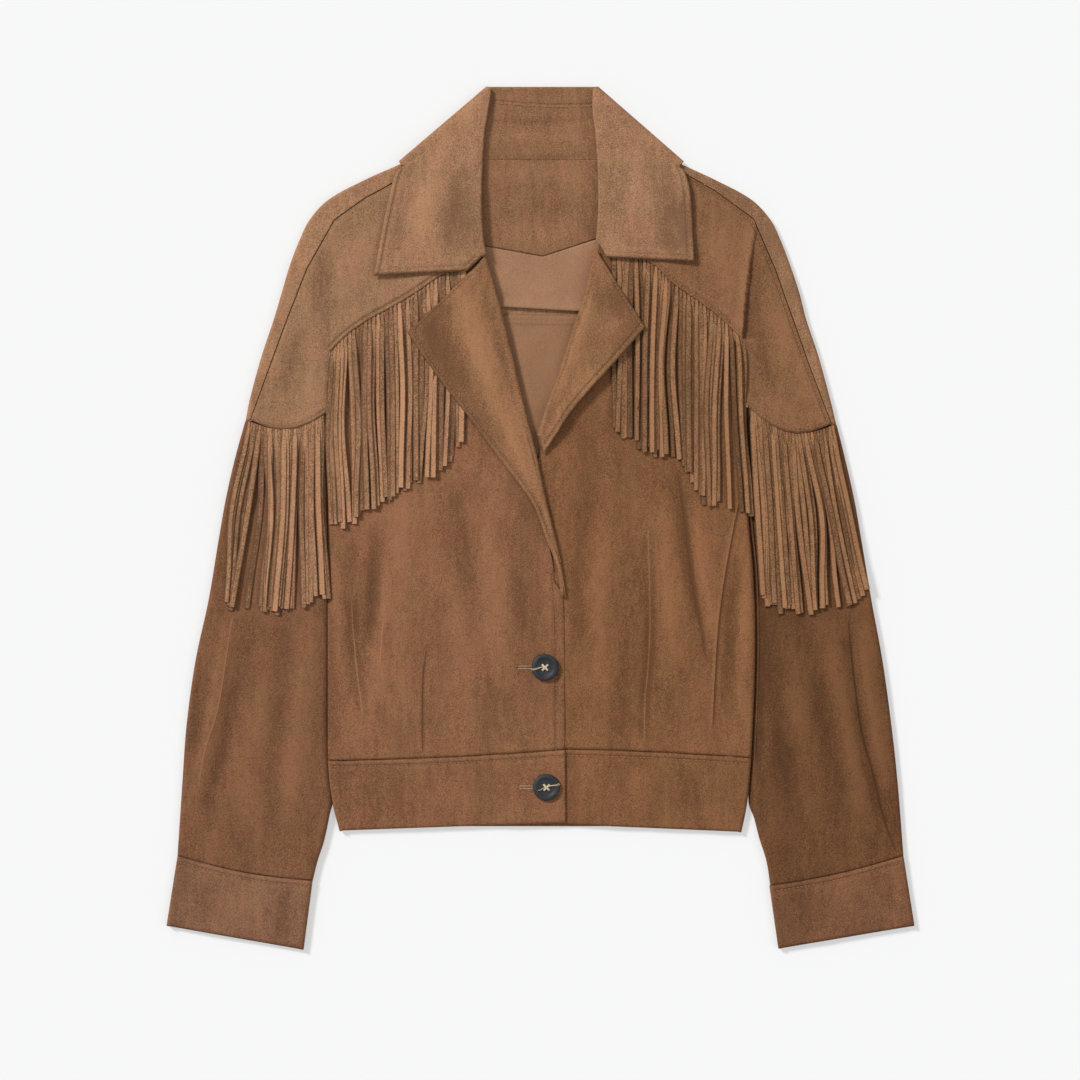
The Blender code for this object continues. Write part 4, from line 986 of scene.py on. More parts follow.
def tube(node, outer, inner, bow, relief_of, finish, side, over, sewn_down=0.0, tuck=0.0):
    """A flattened sleeve or cuff: rings between its outer and its inner edge."""
    share = np.linspace(0, 1, len(outer))
    width = np.linalg.norm(inner - outer, axis=1)[:, None]
    run = (inner - outer) / width
    radius = SLEEVE_TOP / 2
    dip = bow[0] * np.maximum(0.0, 1 - share / 0.25) + bow[1] * np.maximum(0, (share - 0.75) / 0.25)
    columns = []

    def lay(spot, z):
        columns.append(np.column_stack([spot, np.full(len(spot), z)]))

    for u in graded(over, 0.5):
        spot = outer + run * (radius + (width - 2 * radius) * u)
        lay(spot - np.column_stack([np.zeros(len(dip)), dip * math.sin(math.pi * u)]), SLEEVE_TOP)
    for turn in np.pi * np.arange(1, 8) / 8:
        lay(inner - run * (radius * (1 - math.sin(turn)) - tuck * soft(turn / math.pi * 4 - 2)),
            radius * (1 + math.cos(turn)))
    for u in np.linspace(1, 0, 14):
        lay(outer + run * (radius + (width - 2 * radius) * u), 0.0)
    for turn in np.pi * np.arange(7, 0, -1) / 8:
        lay(outer + run * radius * (1 - math.sin(turn)), radius * (1 + math.cos(turn)))
    points = np.stack(columns, axis=1)
    top = soft((points[..., 2] - SLEEVE_TOP * 0.62) / (SLEEVE_TOP * 0.36))
    rows = [points[0, :over, :2] + (0.0, -sewn_down)] if sewn_down else []
    cloth(node, points, finish, relief_of(points) * top, rows, ring=True,
          flip=(side == "left"))


def sleeve(side, finish, cuff_finish):
    """A sleeve below its fringed seam, and its cuff."""
    shares = graded(SLEEVE_FINE[0], 0.4)
    over = SLEEVE_FINE[1]
    outer = through(SLEEVE_OUTER[side], shares)
    inner = through(SLEEVE_INNER[side], shares)
    lap = SLEEVE_LAP * soft(1 - shares / 0.1)
    outer[:, 1] += lap
    inner[:, 1] += lap
    inner[:, 0] -= INWARD[side] * SHADOW_GAP[side] * soft(shares / 0.1)
    seed = 81 + SIDE_SEED[side]

    def sleeve_relief(points):
        xy = points[..., :2]
        ends = soft(shares / 0.12) * soft((1 - shares) / 0.04)
        low = rolled(points, [points[-1, :, :2]], 1.6, 0.4)
        beside_body = np.exp(-((near(xy, inner)[0] / 7.0) ** 2)) * soft(shares / 0.05)[:, None]
        beside_body *= soft((0.8 - shares) / 0.1)[:, None]
        return ((creased(xy, SLEEVE_CREASES) + waved(xy, seed)) * ends[:, None] - low
                - SLEEVE_SINKS[side] * beside_body)

    tube(f"sleeve_{side}", outer, inner, (SEAM_BOW[side], CUFF_BOW[side]), sleeve_relief, finish,
         side, over, tuck=SLEEVE_TUCK[side] * soft((0.87 - shares) / 0.05)[:, None])
    turned = np.linspace(0, 1, CUFF_FINE[0])
    edges = [through((line[side][-1], end), turned)
             for line, end in zip((SLEEVE_OUTER, SLEEVE_INNER), CUFF_END[side])]
    for line in edges:
        line[:, 1] -= GAP * 1.3 * (1 - turned)

    def cuff_relief(points):
        xy = points[..., :2]
        seam, hem = points[0, :CUFF_FINE[1], :2], points[-1, :CUFF_FINE[1], :2]
        low = rolled(points, [hem], 2.8, 2.0) + rolled(points, [seam], 1.4, 0.4)
        return creased(xy, CUFF_CREASES) + 0.8 * waved(xy, seed + 3) - low + seam_puff(xy, seam)

    tube(f"cuff_{side}", *edges, (CUFF_BOW[side], 0.0), cuff_relief, cuff_finish, side,
         CUFF_FINE[1], CUFF_SEWN)


def lapel(side, finish):
    """A lapel: from its return inside the front, round the roll and over to its free edge."""
    shares = graded(LAPEL_FINE[0], 0.5)
    over = graded(LAPEL_FINE[1])
    roll = through(LAPEL_ROLL[side], shares)
    free = through(LAPEL_EDGE[side], shares)
    inward = -beside(roll, side)
    sink = GAP * soft(1 - shares / 0.06)
    roll[:, 1] -= sink
    free[:, 1] -= sink
    low = front_top(roll[:, 0], roll[:, 1], side) - WALL
    slope = 1.0 - 0.5 * shares

    def height(x, y, u):
        return LAPEL_EDGE_TOP + (LAPEL_ROLL_TOP - LAPEL_EDGE_TOP) * slope * (1 - u) ** 2

    points = curled(roll, inward, free, height, LAPEL_UNDER, over, low=low)
    first = points.shape[1] - len(over)
    xy = points[..., :2]
    outer_edge = points[:, -1, :2]
    notch_edge = points[0, first + 6:, :2]
    top = soft((points[..., 2] - 8.6) / 1.2)
    u = np.concatenate([np.zeros(first), over])
    relief = (creased(xy, LAPEL_CREASES) + 0.7 * waved(xy, 101 + SIDE_SEED[side])) * top
    relief *= soft(u / 0.1)[None]
    lift = LAPEL_LIFT[side] * soft((u - 0.4) / 0.6)[None] * soft((1 - shares) / 0.2)[:, None]
    lift = lift * top
    if side == "left":
        over_front = points[..., 2] + relief - front_top(xy[..., 0], xy[..., 1], side) - 0.15
        lift = lift - over_front * soft((shares - 0.84) / 0.16)[:, None] * top
    relief -= rolled(points, [outer_edge, notch_edge], 2.6, 1.7) * top
    run = (free - roll) / np.linalg.norm(free - roll, axis=1)[:, None]
    rows = [spaced(free - run * LAPEL_SEWN, np.linspace(0.0, 0.96, 90)),
            spaced(notch_edge + (0.0, -LAPEL_SEWN), np.linspace(0.12, 0.9, 40))]
    # The lapels' colour also carries painted light and shade.
    cloth(f"lapel_{side}", points, finish, relief, rows, lift=lift,
          extra_painted_light_shade=creased(xy, LAPEL_PAINTED_LIGHT_SHADE) * top, flip=(side == "right"))


def collar(finish):
    """The collar: left leaf, fold, back fall, fold and right leaf in one wall."""
    steps, across = COLLAR_FINE
    shares = graded(across, 0.6)

    def section(roll, free, normal, tops, kink=0.0, kink_at=0.17):
        run = (free - roll) / np.linalg.norm(free - roll)
        points = []
        for turn in np.linspace(math.pi / 2, 0, 6)[:-1]:
            drop = HOOK * (1 - math.cos(turn))
            spot = roll - run * HOOK * math.sin(turn) - np.array(normal[:2]) * drop
            points.append((*spot, tops[0] - normal[2] * drop))
        bent = kink * np.where(shares < kink_at, shares / kink_at, (1 - shares) / (1 - kink_at))
        for u, z, down in zip(shares, tops, bent):
            points.append((*(roll + (free - roll) * u - (0.0, down)), z))
        return points

    halves = {}
    for side in SIDES:
        part = []
        for i, (rc, rr, fc, fr, lift) in enumerate(COLLAR_LEAF[side]):
            kink = COLLAR_KINK_DEEP * STEP * max(0.0, 1 - i / 3)
            tops = LEAF_EDGE_TOP + (LEAF_ROLL_TOP - LEAF_EDGE_TOP) * lift * (1 - shares) ** 2
            part.append(section(at(rc, rr), at(fc, fr), (0, 0, 1), tops, kink, COLLAR_KINK[side]))
        a, b = (at(*place) for place in COLLAR_FOLD[side])
        run = (b - a) / np.linalg.norm(b - a)
        out = np.array([run[1], -run[0]])
        out = -out if out[1] < 0 else out
        radius = LEAF_EDGE_TOP / 2
        for turn in np.linspace(0, math.pi, 5):
            shift = out * radius * (math.sin(turn) - 1)
            part.append(section(a + run * HOOK + shift, b + shift,
                                (*(out * math.sin(turn)), math.cos(turn)),
                                np.full(len(shares), radius * (1 + math.cos(turn)))))
        halves[side] = part
    fall = [section(at(rc, rr), at(fc, fr), (0, 0, -1), np.zeros(len(shares)))
            for rc, rr, fc, fr in COLLAR_FALL]
    points = filled(halves["left"] + fall + halves["right"][::-1], steps)
    leaf = (len(COLLAR_LEAF["left"]) - 1) * steps
    xy = points[..., :2]
    top = soft((points[..., 2] - 9.6) / 0.9)
    u = np.concatenate([np.zeros(5), shares])
    relief = (creased(xy, LEAF_CREASES) + 0.8 * waved(xy, 121)) * top * soft(u / 0.08)[None]
    edges = [xy[:leaf, -1], xy[0, 8:], xy[-leaf:, -1], xy[-1, 8:]]
    relief -= rolled(points, edges, 2.8, 2.0) * top
    from_end = np.minimum(np.arange(len(points)), np.arange(len(points))[::-1])
    lifted = np.maximum(soft((u - 0.6) / 0.4)[None] * soft((leaf - from_end) / 12)[:, None],
                        soft(1 - from_end / 16)[:, None] * soft(u / 0.3)[None])
    lift = LEAF_LIFT * lifted * soft((points[..., 2] - 8.0) / 1.5)
    rows = []
    for end, line in ((0, xy[:leaf]), (-1, xy[-leaf:])):
        run = line[:, -1] - line[:, -12]
        run /= np.linalg.norm(run, axis=1)[:, None]
        rows.append(spaced(line[:, -1] - run * COLLAR_SEWN, np.linspace(0.02, 0.98, 60)))
        rows.append(spaced(xy[end, 12:] + (0.0, COLLAR_SEWN), np.linspace(0.02, 0.95, 60)))
    # The collar's colour also carries painted light and shade.
    cloth("collar", points, finish, relief, rows, flip=True, lift=lift,
          extra_painted_light_shade=creased(xy, LEAF_PAINTED_LIGHT_SHADE) * top)


def stand(finish):
    """The collar stand, rippled where the neck is bent back."""
    places = [(at(0, row)[1], float(soft((128.0 - row) / 38.0)), STAND_TOP)
              for row in np.linspace(160.4, 90, STAND_FINE[0])]
    for turn in np.linspace(0, math.pi / 2, 6)[1:]:
        places.append((at(0, 90)[1] + STAND_HOOK * math.sin(turn), 1.0,
                       STAND_TOP - STAND_HOOK * (1 - math.cos(turn))))
    rows = []
    for y, narrow, z in places:
        x = np.linspace(at(474 + STAND_NARROWS * narrow, 0)[0],
                        at(611 - STAND_NARROWS * narrow, 0)[0], STAND_FINE[1])
        rows.append(np.column_stack([x, np.full(len(x), y), np.full(len(x), z)]))
    points = np.array(rows)
    xy = points[..., :2]
    seam = through(STAND_SEAM, np.linspace(0, 1, 60))
    far, turn, _ = near(xy, seam)
    relief = creased(xy, STAND_CREASES) + 0.5 * waved(xy, STAND_SEED)
    relief += np.where(turn > 0, 0.45, -0.35) * np.exp(-(far / 2.6))
    relief *= soft((points[..., 2] - 4.6) / 0.6)
    cloth("collar_stand", points, finish, relief, [seam + (0.0, 1.9)])
    SEWN["collar_stand"] = [seam]


def vee(col):
    """Row of the neck facing's lower edge, a shallow point."""
    return np.where(col < 543, 246 + 11 * (col - 482) / 61, 257 - 17 * (col - 543) / 52)


def inner_sheet(node, top_line, low_line, left, right, lift, wall, finish, relief_of, sizes):
    """A sheet that lies inside on the back yoke, between two lines across the neck opening."""
    count, across = sizes
    t = np.linspace(0, 1, count)[:, None]
    u = np.linspace(0, 1, across)[None]
    col = (left[0] + (left[1] - left[0]) * t) * (1 - u) + (right[0] + (right[1] - right[0]) * t) * u
    row = top_line(col) + (low_line(col) - top_line(col)) * t
    x, y = (col - MID_COL) * STEP, (MID_ROW - row) * STEP
    z = yoke_floor(y) + WALL + GAP + wall + lift
    if node == "neck_facing":
        z = z + (STAND_TOP - z) * soft(1 - t / 0.3)
    points = np.dstack([x, y, z])
    cloth(node, points, finish, relief_of(points), flip=True, wall=wall)


def inside(facing_finish, lining_finish, low_finish):
    """The neck facing and the two lengths of lining."""

    def facing_relief(points):
        xy = points[..., :2]
        return (creased(xy, STAND_CREASES) + 0.5 * waved(xy, STAND_SEED)
                - rolled(points, [xy[-1]], 1.2, 0.5))

    def upper_relief(points):
        xy = points[..., :2]
        return 0.35 * waved(xy, 151) + LINING_MOUTH * np.exp(-((near(xy, xy[-1])[0] / 5.0) ** 2))

    def lower_relief(points):
        xy = points[..., :2]
        hem = near(xy, xy[0])[0]
        puff = 0.5 * soft(hem / 1.5) * soft((9.0 - hem) / 1.5)
        return 0.4 * waved(xy, 161) + puff + creased(xy, LINING_CREASES)

    inner_sheet("neck_facing", lambda c: 160.45 + 0 * c, lambda c: vee(c) - 0.4, (474, 468),
                (606, 610), 0.25, FACING_WALL, facing_finish, facing_relief,
                (70, 60))
    inner_sheet("lining_upper", vee, lambda c: 307 + 4 * (c - 500) / 70, (468, 482), (610, 590),
                0.0, THIN_WALL, lining_finish, upper_relief, (34, 60))
    inner_sheet("lining_lower", lambda c: 314.5 + 1.5 * (c - 500) / 70, lambda c: 470.0 + 0 * c,
                (480, 512), (592, 556), 0.0, THIN_WALL, low_finish, lower_relief,
                (90, 50))


def line_mesh(name, lines, facts):
    """A mesh of open lines, with a number for each point under each fact's name."""
    ends = np.cumsum([len(line) for line in lines])
    edges = [(k, k + 1) for k in range(ends[-1] - 1) if k + 1 not in set(ends.tolist())]
    return mesh_of(name, np.concatenate(lines), (), facts, edges)


def add(tree, kind, sockets=(), **settings):
    """Adds a node. A socket takes a value or another node's output. Gives its first output."""
    node = tree.nodes.new(kind)
    for label, value in settings.items():
        setattr(node, label, value)
    fill(tree, node, sockets)
    return next(socket for socket in node.outputs if socket.enabled)


def fill(tree, node, sockets):
    """Fills a node's sockets, each with a value or with a link from another node's output."""
    for label, value in dict(sockets).items():
        socket = node.inputs[label] if isinstance(label, int) else next(
            socket for socket in node.inputs if socket.name == label and socket.enabled)
        if isinstance(value, bpy.types.NodeSocket):
            tree.links.new(value, socket)
        else:
            socket.default_value = value


def new_tree(name, sizes):
    """A geometry tree with a named input for each size and one for the material."""
    tree = bpy.data.node_groups.new(name, "GeometryNodeTree")
    face = tree.interface
    face.new_socket("Geometry", in_out="INPUT", socket_type="NodeSocketGeometry")
    for label in sizes:
        face.new_socket(label, in_out="INPUT", socket_type="NodeSocketFloat")
    face.new_socket("Material", in_out="INPUT", socket_type="NodeSocketMaterial")
    face.new_socket("Geometry", in_out="OUTPUT", socket_type="NodeSocketGeometry")
    start = tree.nodes.new("NodeGroupInput")
    lines = add(tree, "GeometryNodeMeshToCurve", {"Mesh": start.outputs["Geometry"]})
    return tree, start.outputs, lines


def stitch_tree():
    """Stitches laid end to end along lines, each a slim bead that leans a little at random."""
    tree, sizes, lines = new_tree(STITCH_TREE, ("Stitch Pitch", "Stitch Length",
                                                "Thread Thickness", "Lean"))
    places = add(tree, "GeometryNodeResampleCurve",
                 {"Curve": lines, "Length": sizes["Stitch Pitch"]}, mode="LENGTH")
    bead = add(tree, "GeometryNodeMeshUVSphere", {"Segments": 6, "Rings": 5, "Radius": 0.5})
    bead = add(tree, "GeometryNodeSetShadeSmooth", {"Geometry": bead})
    size = add(tree, "ShaderNodeCombineXYZ", {"X": sizes["Stitch Length"],
                                              "Y": sizes["Thread Thickness"],
                                              "Z": sizes["Thread Thickness"]})
    along = add(tree, "FunctionNodeAlignRotationToVector",
                {"Vector": add(tree, "GeometryNodeInputTangent")}, axis="X")
    low = add(tree, "ShaderNodeMath", {0: sizes["Lean"], 1: -1.0}, operation="MULTIPLY")
    lean = add(tree, "FunctionNodeRandomValue", {"Min": low, "Max": sizes["Lean"],
                                                 "Seed": STITCH_SEED}, data_type="FLOAT")
    turn = add(tree, "FunctionNodeRotateRotation",
               {"Rotation": along, "Rotate By": add(tree, "ShaderNodeCombineXYZ", {"Z": lean})})
    return finish_tree(tree, sizes, add(tree, "GeometryNodeInstanceOnPoints", {
        "Points": places, "Instance": bead, "Rotation": turn, "Scale": size}))


def strand_tree():
    """Flat leather strands swept along lines, by the lines' own width and twist."""
    tree, sizes, lines = new_tree(STRAND_TREE, ("Strand Width", "Strand Crown"))
    width, crown = sizes["Strand Width"], sizes["Strand Crown"]
    level = add(tree, "GeometryNodeSetCurveNormal", {"Curve": lines}, mode="Z_UP")
    outline = add(tree, "GeometryNodeCurvePrimitiveQuadrilateral",
                  {"Width": width, "Height": crown})
    round_by = add(tree, "ShaderNodeMath", {0: crown, 1: 0.36}, operation="MULTIPLY")
    worn = add(tree, "GeometryNodeFilletCurve",
               {"Curve": outline, "Count": 2, "Radius": round_by}, mode="POLY")
    x = add(tree, "ShaderNodeSeparateXYZ", {"Vector": add(tree, "GeometryNodeInputPosition")})
    share = add(tree, "ShaderNodeMath", {0: x, 1: width}, operation="DIVIDE")
    profile = add(tree, "GeometryNodeStoreNamedAttribute",
                  {"Geometry": worn, "Name": "across", "Value": share},
                  data_type="FLOAT", domain="POINT")
    wide = add(tree, "GeometryNodeInputNamedAttribute", {"Name": "wide"}, data_type="FLOAT")
    swept = add(tree, "GeometryNodeCurveToMesh", {"Curve": level, "Profile Curve": profile,
                                                  "Scale": wide, "Fill Caps": True})
    return finish_tree(tree, sizes, add(tree, "GeometryNodeSetShadeSmooth",
                                        {"Geometry": swept, "Shade Smooth": False}))


def finish_tree(tree, sizes, made):
    """Ends a tree in Realize Instances and Set Material."""
    real = add(tree, "GeometryNodeRealizeInstances", {"Geometry": made})
    painted = add(tree, "GeometryNodeSetMaterial",
                  {"Geometry": real, "Material": sizes["Material"]})
    fill(tree, tree.nodes.new("NodeGroupOutput"), {"Geometry": painted})
    return tree


def grown(name, lines, facts, tree, sizes, finish):
    """Runs a tree on lines of points and gives back the plain mesh."""
    guide = placed(bpy.data.objects.new(f"{name}_guide", line_mesh(f"{name}_guide", lines, facts)))
    grow = guide.modifiers.new("grow", "NODES")
    grow.node_group = tree
    values = {**sizes, "Material": finish}
    for item in tree.interface.items_tree:
        if item.in_out == "INPUT" and item.name in values:
            grow[item.identifier] = values[item.name]
    return plain(guide, name)


def stitched(name, lines, nodes, finish, slot, pitch, length, thick, sunk):
    """Rows of stitches draped on the pieces that they are sewn through."""
    draped = []
    for line in lines:
        run = []
        for x, y in [*spaced(line, np.linspace(0, 1, max(len(line), 24))), (None, None)]:
            z = None if x is None else height_at(x, y, nodes)
            if z is not None:
                run.append((x, y, z + thick / 2 - sunk))
                continue
            if len(run) > 3:
                draped.append(np.array(run))
            run = []
    tree = bpy.data.node_groups.get(STITCH_TREE) or stitch_tree()
    sizes = {"Stitch Pitch": pitch * MM, "Stitch Length": length * MM,
             "Thread Thickness": thick * MM, "Lean": STITCH_LEAN}
    piece(name, grown(name, draped, (), tree, sizes, finish), finish)


def strands(name, node, seam, ends, count, under, seed, finish, width, crown, armpit):
    """A row of cut strands that hang from their seam, bunched, crossed and turned as they lie."""
    rng = np.random.default_rng(seed)
    drift = np.convolve(rng.normal(0, 1, count + 6), (0.2, 0.3, 0.3, 0.2), "same")[3:count + 3]
    places, cols, rows = np.array(ends, float).T
    lines, wide, tilt, tone = [], [], [], []
    shares = (np.arange(count) + 0.5) / count
    base = spaced(seam, shares) + (0.0, ROOT_RISE)
    t = np.linspace(0, 1, STRAND_POINTS)
    for i in range(count):
        share = float(np.clip(shares[i] + rng.normal(0, 0.004), 0, 1))
        col = np.interp(share, places, cols) + rng.normal(0, 1.0)
        row = np.interp(share, places, rows) + rng.normal(0, 2.2)
        end = at(col, row)
        layer = float(rng.choice(STRAND_LAYERS, p=STRAND_LAYER_ODDS))
        bow = 1.6 * drift[i] + rng.normal(0, 0.5)
        spread = t ** (1.25 - 0.9 * float(soft((share - armpit) / 0.08)))
        x = base[i, 0] + (end[0] - base[i, 0]) * spread + bow * np.sin(np.pi * t) * 1.4
        x += 2.6 * drift[i] * np.sin(np.pi * np.clip(t * 1.25 - 0.1, 0, 1)) ** 2
        y = base[i, 1] + (end[1] - base[i, 1]) * t
        z = np.array([height_at(a, b, under, BODY_TOP) for a, b in zip(x, y)])
        z = z + crown * 0.45 + layer * crown * 1.05 * soft((t - 0.03) / 0.15)
        z += 0.2 * rng.random()
        z += 0.2 * np.sin(2 * np.pi * (t * rng.uniform(0.6, 1.6) + rng.random()))
        for k, (a, b) in enumerate(zip(x, y)):
            roof = height_at(a, b, ROOF_NODES)
            if roof is not None:
                z[k] = min(z[k], roof - WALL - crown * 0.5 - 0.15)
        z[0] -= 0.5
        lines.append(np.column_stack([x, y, z]))
        wide.append((0.50 + 0.5 * soft(t / 0.09)) * rng.uniform(0.82, 1.12))
        tilt.append(rng.normal(0, 0.16) * soft(t / 0.2)
                    + 0.16 * np.sin(2 * np.pi * (t * rng.uniform(0.3, 0.9) + rng.random())) * t)
        # A strand's tone differs at random, with painted shade on the strands that lie lower, and
        # its end lighter.
        tone.append(rng.uniform(-1, 0.35) + 0.65 * layer + 0.25 * soft((t - 0.9) / 0.1))
    mesh = grown(name, lines, (("wide", wide), ("tilt", tilt), ("tone", tone)),
                 bpy.data.node_groups.get(STRAND_TREE) or strand_tree(),
                 {"Strand Width": width * MM, "Strand Crown": crown * MM}, finish)
    piece(name, mesh, finish, (node,))


def header(name, seam, count, under, finish):
    """The strip that a row of strands is cut from, pleated where each strand leaves it."""
    line = spaced(seam, np.linspace(0, 1, count * STRIP_POINTS))
    pleat = 0.5 - 0.5 * np.cos(2 * np.pi * np.linspace(0, 1, len(line)) * count)
    rows = []
    for down in np.linspace(-2.0, STRIP_DEEP, 12):
        z = (np.full(len(line), BODY_TOP - 1.2) if down < 0 else
             np.array([height_at(x, y - down, under, BODY_TOP) for x, y in line]))
        lift = 0.7 + 0.65 * pleat * soft((down + 1.0) / 5.0) - 0.9 * soft((down - 6.2) / 1.8)
        rows.append(np.column_stack([line[:, 0], line[:, 1] - down, z + lift]))
    points = np.array(rows).reshape(-1, 3)
    mesh = mesh_of(name, points, quads(len(rows), len(line), False, True),
                   (("tone", np.zeros(len(points))),))
    walled(piece(name, mesh, finish), STRIP_WALL)


def from_bmesh(made, name):
    """A mesh in metres from shapes in millimetres."""
    bmesh.ops.scale(made, verts=made.verts, vec=(MM, MM, MM))
    mesh = bpy.data.meshes.new(name)
    made.to_mesh(mesh)
    made.free()
    return placed(bpy.data.objects.new(name, mesh))


def button(name, col, row, tails, finish, thread):
    """A four-hole button with a raised rim and a dished middle, sewn on."""
    x, y = at(col, row)
    low = float(front_top(x, y, "left")) + GAP
    turned = bmesh.new()
    line = [turned.verts.new((BUTTON_ACROSS / 2 * share, 0.0, z)) for share, z in BUTTON_PROFILE]
    edges = [turned.edges.new(pair) for pair in zip(line[:-1], line[1:])]
    bmesh.ops.spin(turned, geom=line + edges, angle=math.tau, steps=72, axis=(0, 0, 1),
                   cent=(0, 0, 0), use_merge=True)
    bmesh.ops.remove_doubles(turned, verts=turned.verts, dist=0.001)
    bmesh.ops.recalc_face_normals(turned, faces=turned.faces)
    bmesh.ops.translate(turned, verts=turned.verts, vec=(x, y, low))
    blank = from_bmesh(turned, f"{name}_blank")
    drill = bmesh.new()
    half = BUTTON_HOLE_APART / 2
    for dx, dy in ((1, 1), (1, -1), (-1, 1), (-1, -1)):
        made = bmesh.ops.create_cone(drill, cap_ends=True, segments=20, depth=12.0,
                                     radius1=BUTTON_HOLE / 2, radius2=BUTTON_HOLE / 2)
        bmesh.ops.translate(drill, verts=made["verts"],
                            vec=(x + dx * half, y + dy * half, low + 1.5))
    cutter = from_bmesh(drill, f"{name}_drill")
    cut = blank.modifiers.new("holes", "BOOLEAN")
    cut.solver = "EXACT"
    cut.object = cutter
    whole = plain(blank, f"{name}_turned")
    bpy.data.objects.remove(cutter)
    whole.shade_smooth()
    whole.set_sharp_from_angle(angle=math.radians(40))
    piece(f"{name}_turned", whole, finish, (name,))
    loops = []
    u = np.linspace(-1, 1, 12)
    for off in np.arange(-2, 3) * 0.30:
        for dy in (1, -1):
            z = low + 2.3 + 0.75 * (1 - u**4) - 1.3 * np.clip(np.abs(u) - 0.8, 0, 1)
            loops.append(np.column_stack([x + half * u - dy * off * 0.7,
                                          y + dy * half * u + off * 0.7, z]))
    u = np.linspace(0, 1, 12)
    for tail in tails:
        end_x, end_y = at(*tail)
        wave = 0.5 * np.sin(6 * u)
        loops.append(np.column_stack([x + (end_x - x) * u, y + (end_y - y) * u + wave,
                                      low + 3.0 + 1.1 * u]))
    mesh = grown(f"{name}_thread", loops, (("wide", np.ones((len(loops), 12))),),
                 bpy.data.node_groups.get(STRAND_TREE) or strand_tree(),
                 {"Strand Width": BUTTON_THREAD * MM, "Strand Crown": BUTTON_THREAD * MM}, thread)
    piece(f"{name}_thread", mesh, thread)


def shader(name, looks):
    """A new material: its tree, its Principled shader and its object coordinates."""
    made = bpy.data.materials.new(name)
    made.use_nodes = True
    tree = made.node_tree
    body = tree.nodes["Principled BSDF"]
    fill(tree, body, looks)
    return made, tree, body, tree.nodes.new("ShaderNodeTexCoord").outputs["Object"]


def noise(tree, place, scale, stretch=(1, 1, 1), detail=2.0, turn=0.0):
    """A noise pattern of features 1/scale metres wide, stretched along the axes."""
    placed_at = add(tree, "ShaderNodeMapping", {"Vector": place, "Scale": stretch,
                                                "Rotation": (0, 0, turn)})
    return add(tree, "ShaderNodeTexNoise", {"Vector": placed_at, "Scale": scale,
                                            "Detail": detail, "Roughness": 0.55})


def math_of(tree, operation, *values):
    """What a sum, a product or the like makes of values."""
    return add(tree, "ShaderNodeMath", dict(enumerate(values)), operation=operation)


def summed(tree, parts, base=0.5):
    """Adds patterns, each about its middle and by its weight. Columns: value, weight, middle."""
    total = None
    for value, weight, middle in parts:
        start = (base if total is None else 0.0) - weight * middle
        part = math_of(tree, "MULTIPLY_ADD", value, weight, start)
        total = part if total is None else math_of(tree, "ADD", total, part)
    return total


def attribute(tree, name):
    """A number that the mesh holds for each point."""
    return add(tree, "ShaderNodeAttribute", attribute_name=name).node.outputs["Fac"]


def axis(tree, place, label):
    """One of a place's coordinates."""
    return add(tree, "ShaderNodeSeparateXYZ", {"Vector": place}).node.outputs[label]


def bump(tree, height, strength, distance, **below):
    """Normals of a relief, over another relief's normals if they are given."""
    return add(tree, "ShaderNodeBump", {"Height": height, "Strength": strength,
                                        "Distance": distance, **below})


def ramp(tree, value, colour, stops):
    """Colours along a value. Columns of the stops: place, light, then red, green and blue."""
    made = add(tree, "ShaderNodeValToRGB", {"Fac": value})
    band = made.node.color_ramp
    band.interpolation = "B_SPLINE" if len(stops) > 2 else "LINEAR"
    while len(band.elements) < len(stops):
        band.elements.new(0.5)
    for element, (place, light, *parts) in zip(band.elements, stops):
        element.position = place
        element.color = (*tinted(colour, light, *parts), 1.0)
    return made


def tinted(colour, light, red=1.0, green=1.0, blue=1.0):
    """A colour made lighter or darker, and its parts stronger or weaker."""
    return (colour[0] * light * red, colour[1] * light * green, colour[2] * light * blue)


def slit(tree, place, kind, places):
    """Height about 0 of a slit or seam that runs up a front, from the object's coordinates."""
    line = through(places, np.linspace(0, 1, 12)) * MM
    low, high = line[:, 0].min() - MM, line[:, 0].max() + MM
    start, span = line[0, 1], line[-1, 1] - line[0, 1]
    along = ranged(tree, axis(tree, place, "Y"), start, line[-1, 1])
    bent = curved(tree, along, [((y - start) / span, (x - low) / (high - low)) for x, y in line])
    middle = ranged(tree, bent, 0.0, 1.0, low, high)
    off = math_of(tree, "SUBTRACT", axis(tree, place, "X"), middle)
    across = ranged(tree, off, -SLIT_REACH * MM, SLIT_REACH * MM)
    rise = math_of(tree, "SUBTRACT", curved(tree, across, SLIT_PROFILES[kind]), 0.5)
    return math_of(tree, "MULTIPLY", rise, curved(tree, along, SLIT_FADE))


def ranged(tree, value, low, high, to_low=0.0, to_high=1.0):
    """A value brought from one range to another and held inside it."""
    return add(tree, "ShaderNodeMapRange", {"Value": value, "From Min": low, "From Max": high,
                                            "To Min": to_low, "To Max": to_high})


def curved(tree, value, places):
    """A value read off a curve through places from 0 to 1."""
    made = add(tree, "ShaderNodeFloatCurve", {"Value": value})
    points = made.node.mapping.curves[0].points
    points[0].location = places[0]
    points[1].location = places[-1]
    for place in places[1:-1]:
        points.new(*place)
    made.node.mapping.update()
    return made


